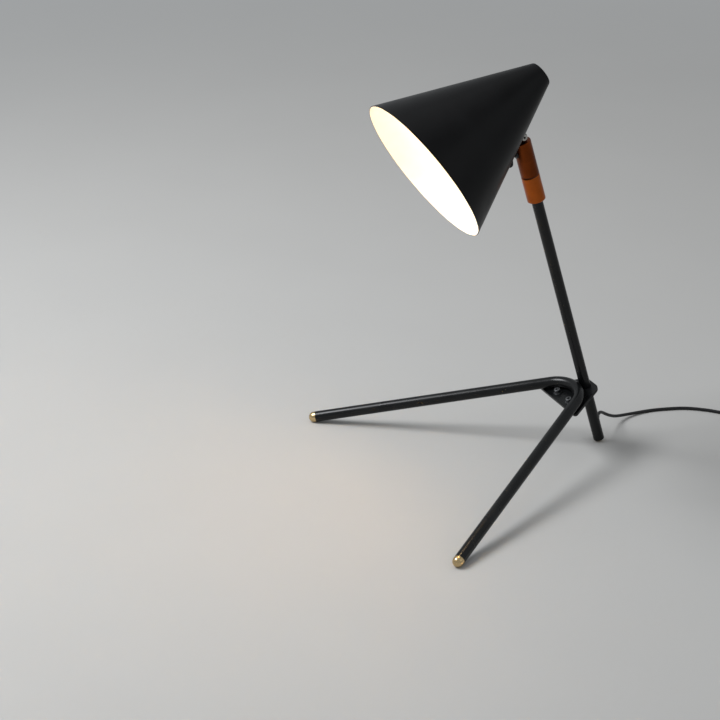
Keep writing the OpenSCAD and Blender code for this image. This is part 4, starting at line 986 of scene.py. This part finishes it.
class LAMP_OT_bulb(bpy.types.Operator):
    """Opal bulb glass"""

    bl_idname = "lamp.bulb"
    bl_label = "Bulb"

    def execute(self, context):
        # The outside from crown to neck, a narrower foot, and the inside back to the crown
        outer, inner = self.side(0), self.side(1)
        foot = [[6.7, GLASS_LOW], [5.7, GLASS_LOW]]
        mesh = skin("bulb", put(turned(np.vstack([outer, foot, inner[::-1]]), 96), SHADE))
        piece(mesh, "shade", ["lit_opal_glass"], ["bulb_glass"], 40)
        return {"FINISHED"}

    def side(self, depth):
        """Side of the glass at a depth below its face: a circle from the crown to 43 degrees
        below the middle, then a parabola down to the straight neck."""
        below, neck = 43, NECK_RADIUS - depth
        ball = arc([0, BULB_MIDDLE], BULB_RADIUS - depth, 90, -below, 37)
        ball[0, 0] = 0
        low = ball[-1]
        hip = [neck, low[1] - (low[0] - neck) / math.tan(math.radians(below))]
        t = np.linspace(0, 1, 13)[1:, None]
        return np.vstack([ball, parabola(low, hip, [neck, GLASS_LOW + 3], t)])


class LAMP_OT_finishes(bpy.types.Operator):
    """Finishes of the CAD nodes that are shown as they are"""

    bl_idname = "lamp.finishes"
    bl_label = "Finishes"

    def execute(self, context):
        worn = {
            "satin_black_paint": ("pole_tube", "bracket_rivets"),
            "turned_brass": ("pole_foot", "leg_tips", "holder_shell", "holder_contact"),
            "zinc_plate": ("sleeve_screw", "swivel_spindle", "stop_pin", "spring_washer", "spindle_nut",
                           "holder_nipple", "nipple_nut", "bulb_cap", "plug_pins"),
            "vulcanised_fibre": ("swivel_washer", "hinge_washers"),
            "flexible_pvc": ("cord_grommet", "lead_bush", "shade_grommet", "pole_lead", "plug_body"),
            "phenolic_resin": ("holder_cap", "holder_body"),
            "grained_plastic": ("switch_base", "switch_cover"),
            "polished_plastic": ("switch_rocker",),
            "nylon_strap": ("coil_tie",),
        }
        for name, nodes in worn.items():
            for node in nodes:
                frame["nodes"][node].data.materials[0] = finish(name)
        shown = {o["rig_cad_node"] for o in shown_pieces() if "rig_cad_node" in o}
        bare = shown - {node for nodes in worn.values() for node in nodes}
        if bare:
            raise RuntimeError(f"no finish for {sorted(bare)}")
        return {"FINISHED"}


OPERATORS = (LAMP_OT_stage, LAMP_OT_cord, LAMP_OT_shade, LAMP_OT_legs, LAMP_OT_metalwork, LAMP_OT_leads,
             LAMP_OT_bulb, LAMP_OT_finishes)


class LAMP_PT_panel(bpy.types.Panel):
    """Lists the sizes, the colours and the pieces"""

    bl_idname = "LAMP_PT_panel"
    bl_label = "Table lamp"
    bl_space_type = "VIEW_3D"
    bl_region_type = "UI"
    bl_category = "Lamp"

    def draw(self, context):
        for group in (context.scene.lamp_sizes, context.scene.lamp_colours):
            box = self.layout.box()
            for name in group.__annotations__:
                box.prop(group, name)
        for operator in OPERATORS:
            self.layout.operator(operator.bl_idname)


CLASSES = (LampSizes, LampColours, *OPERATORS, LAMP_PT_panel)


def register():
    """Registers the classes and gives the scene the two groups of values."""
    for cls in CLASSES:
        bpy.utils.register_class(cls)
    bpy.types.Scene.lamp_sizes = PointerProperty(type=LampSizes)
    bpy.types.Scene.lamp_colours = PointerProperty(type=LampColours)


def unregister():
    """Takes the groups and the classes away again, in the opposite order."""
    del bpy.types.Scene.lamp_colours
    del bpy.types.Scene.lamp_sizes
    for cls in reversed(CLASSES):
        bpy.utils.unregister_class(cls)


def main():
    """Registers the add-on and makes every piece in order."""
    register()
    for operator in OPERATORS:
        group, name = operator.bl_idname.split(".")
        getattr(getattr(bpy.ops, group), name)()


if __name__ == "__main__":
    main()
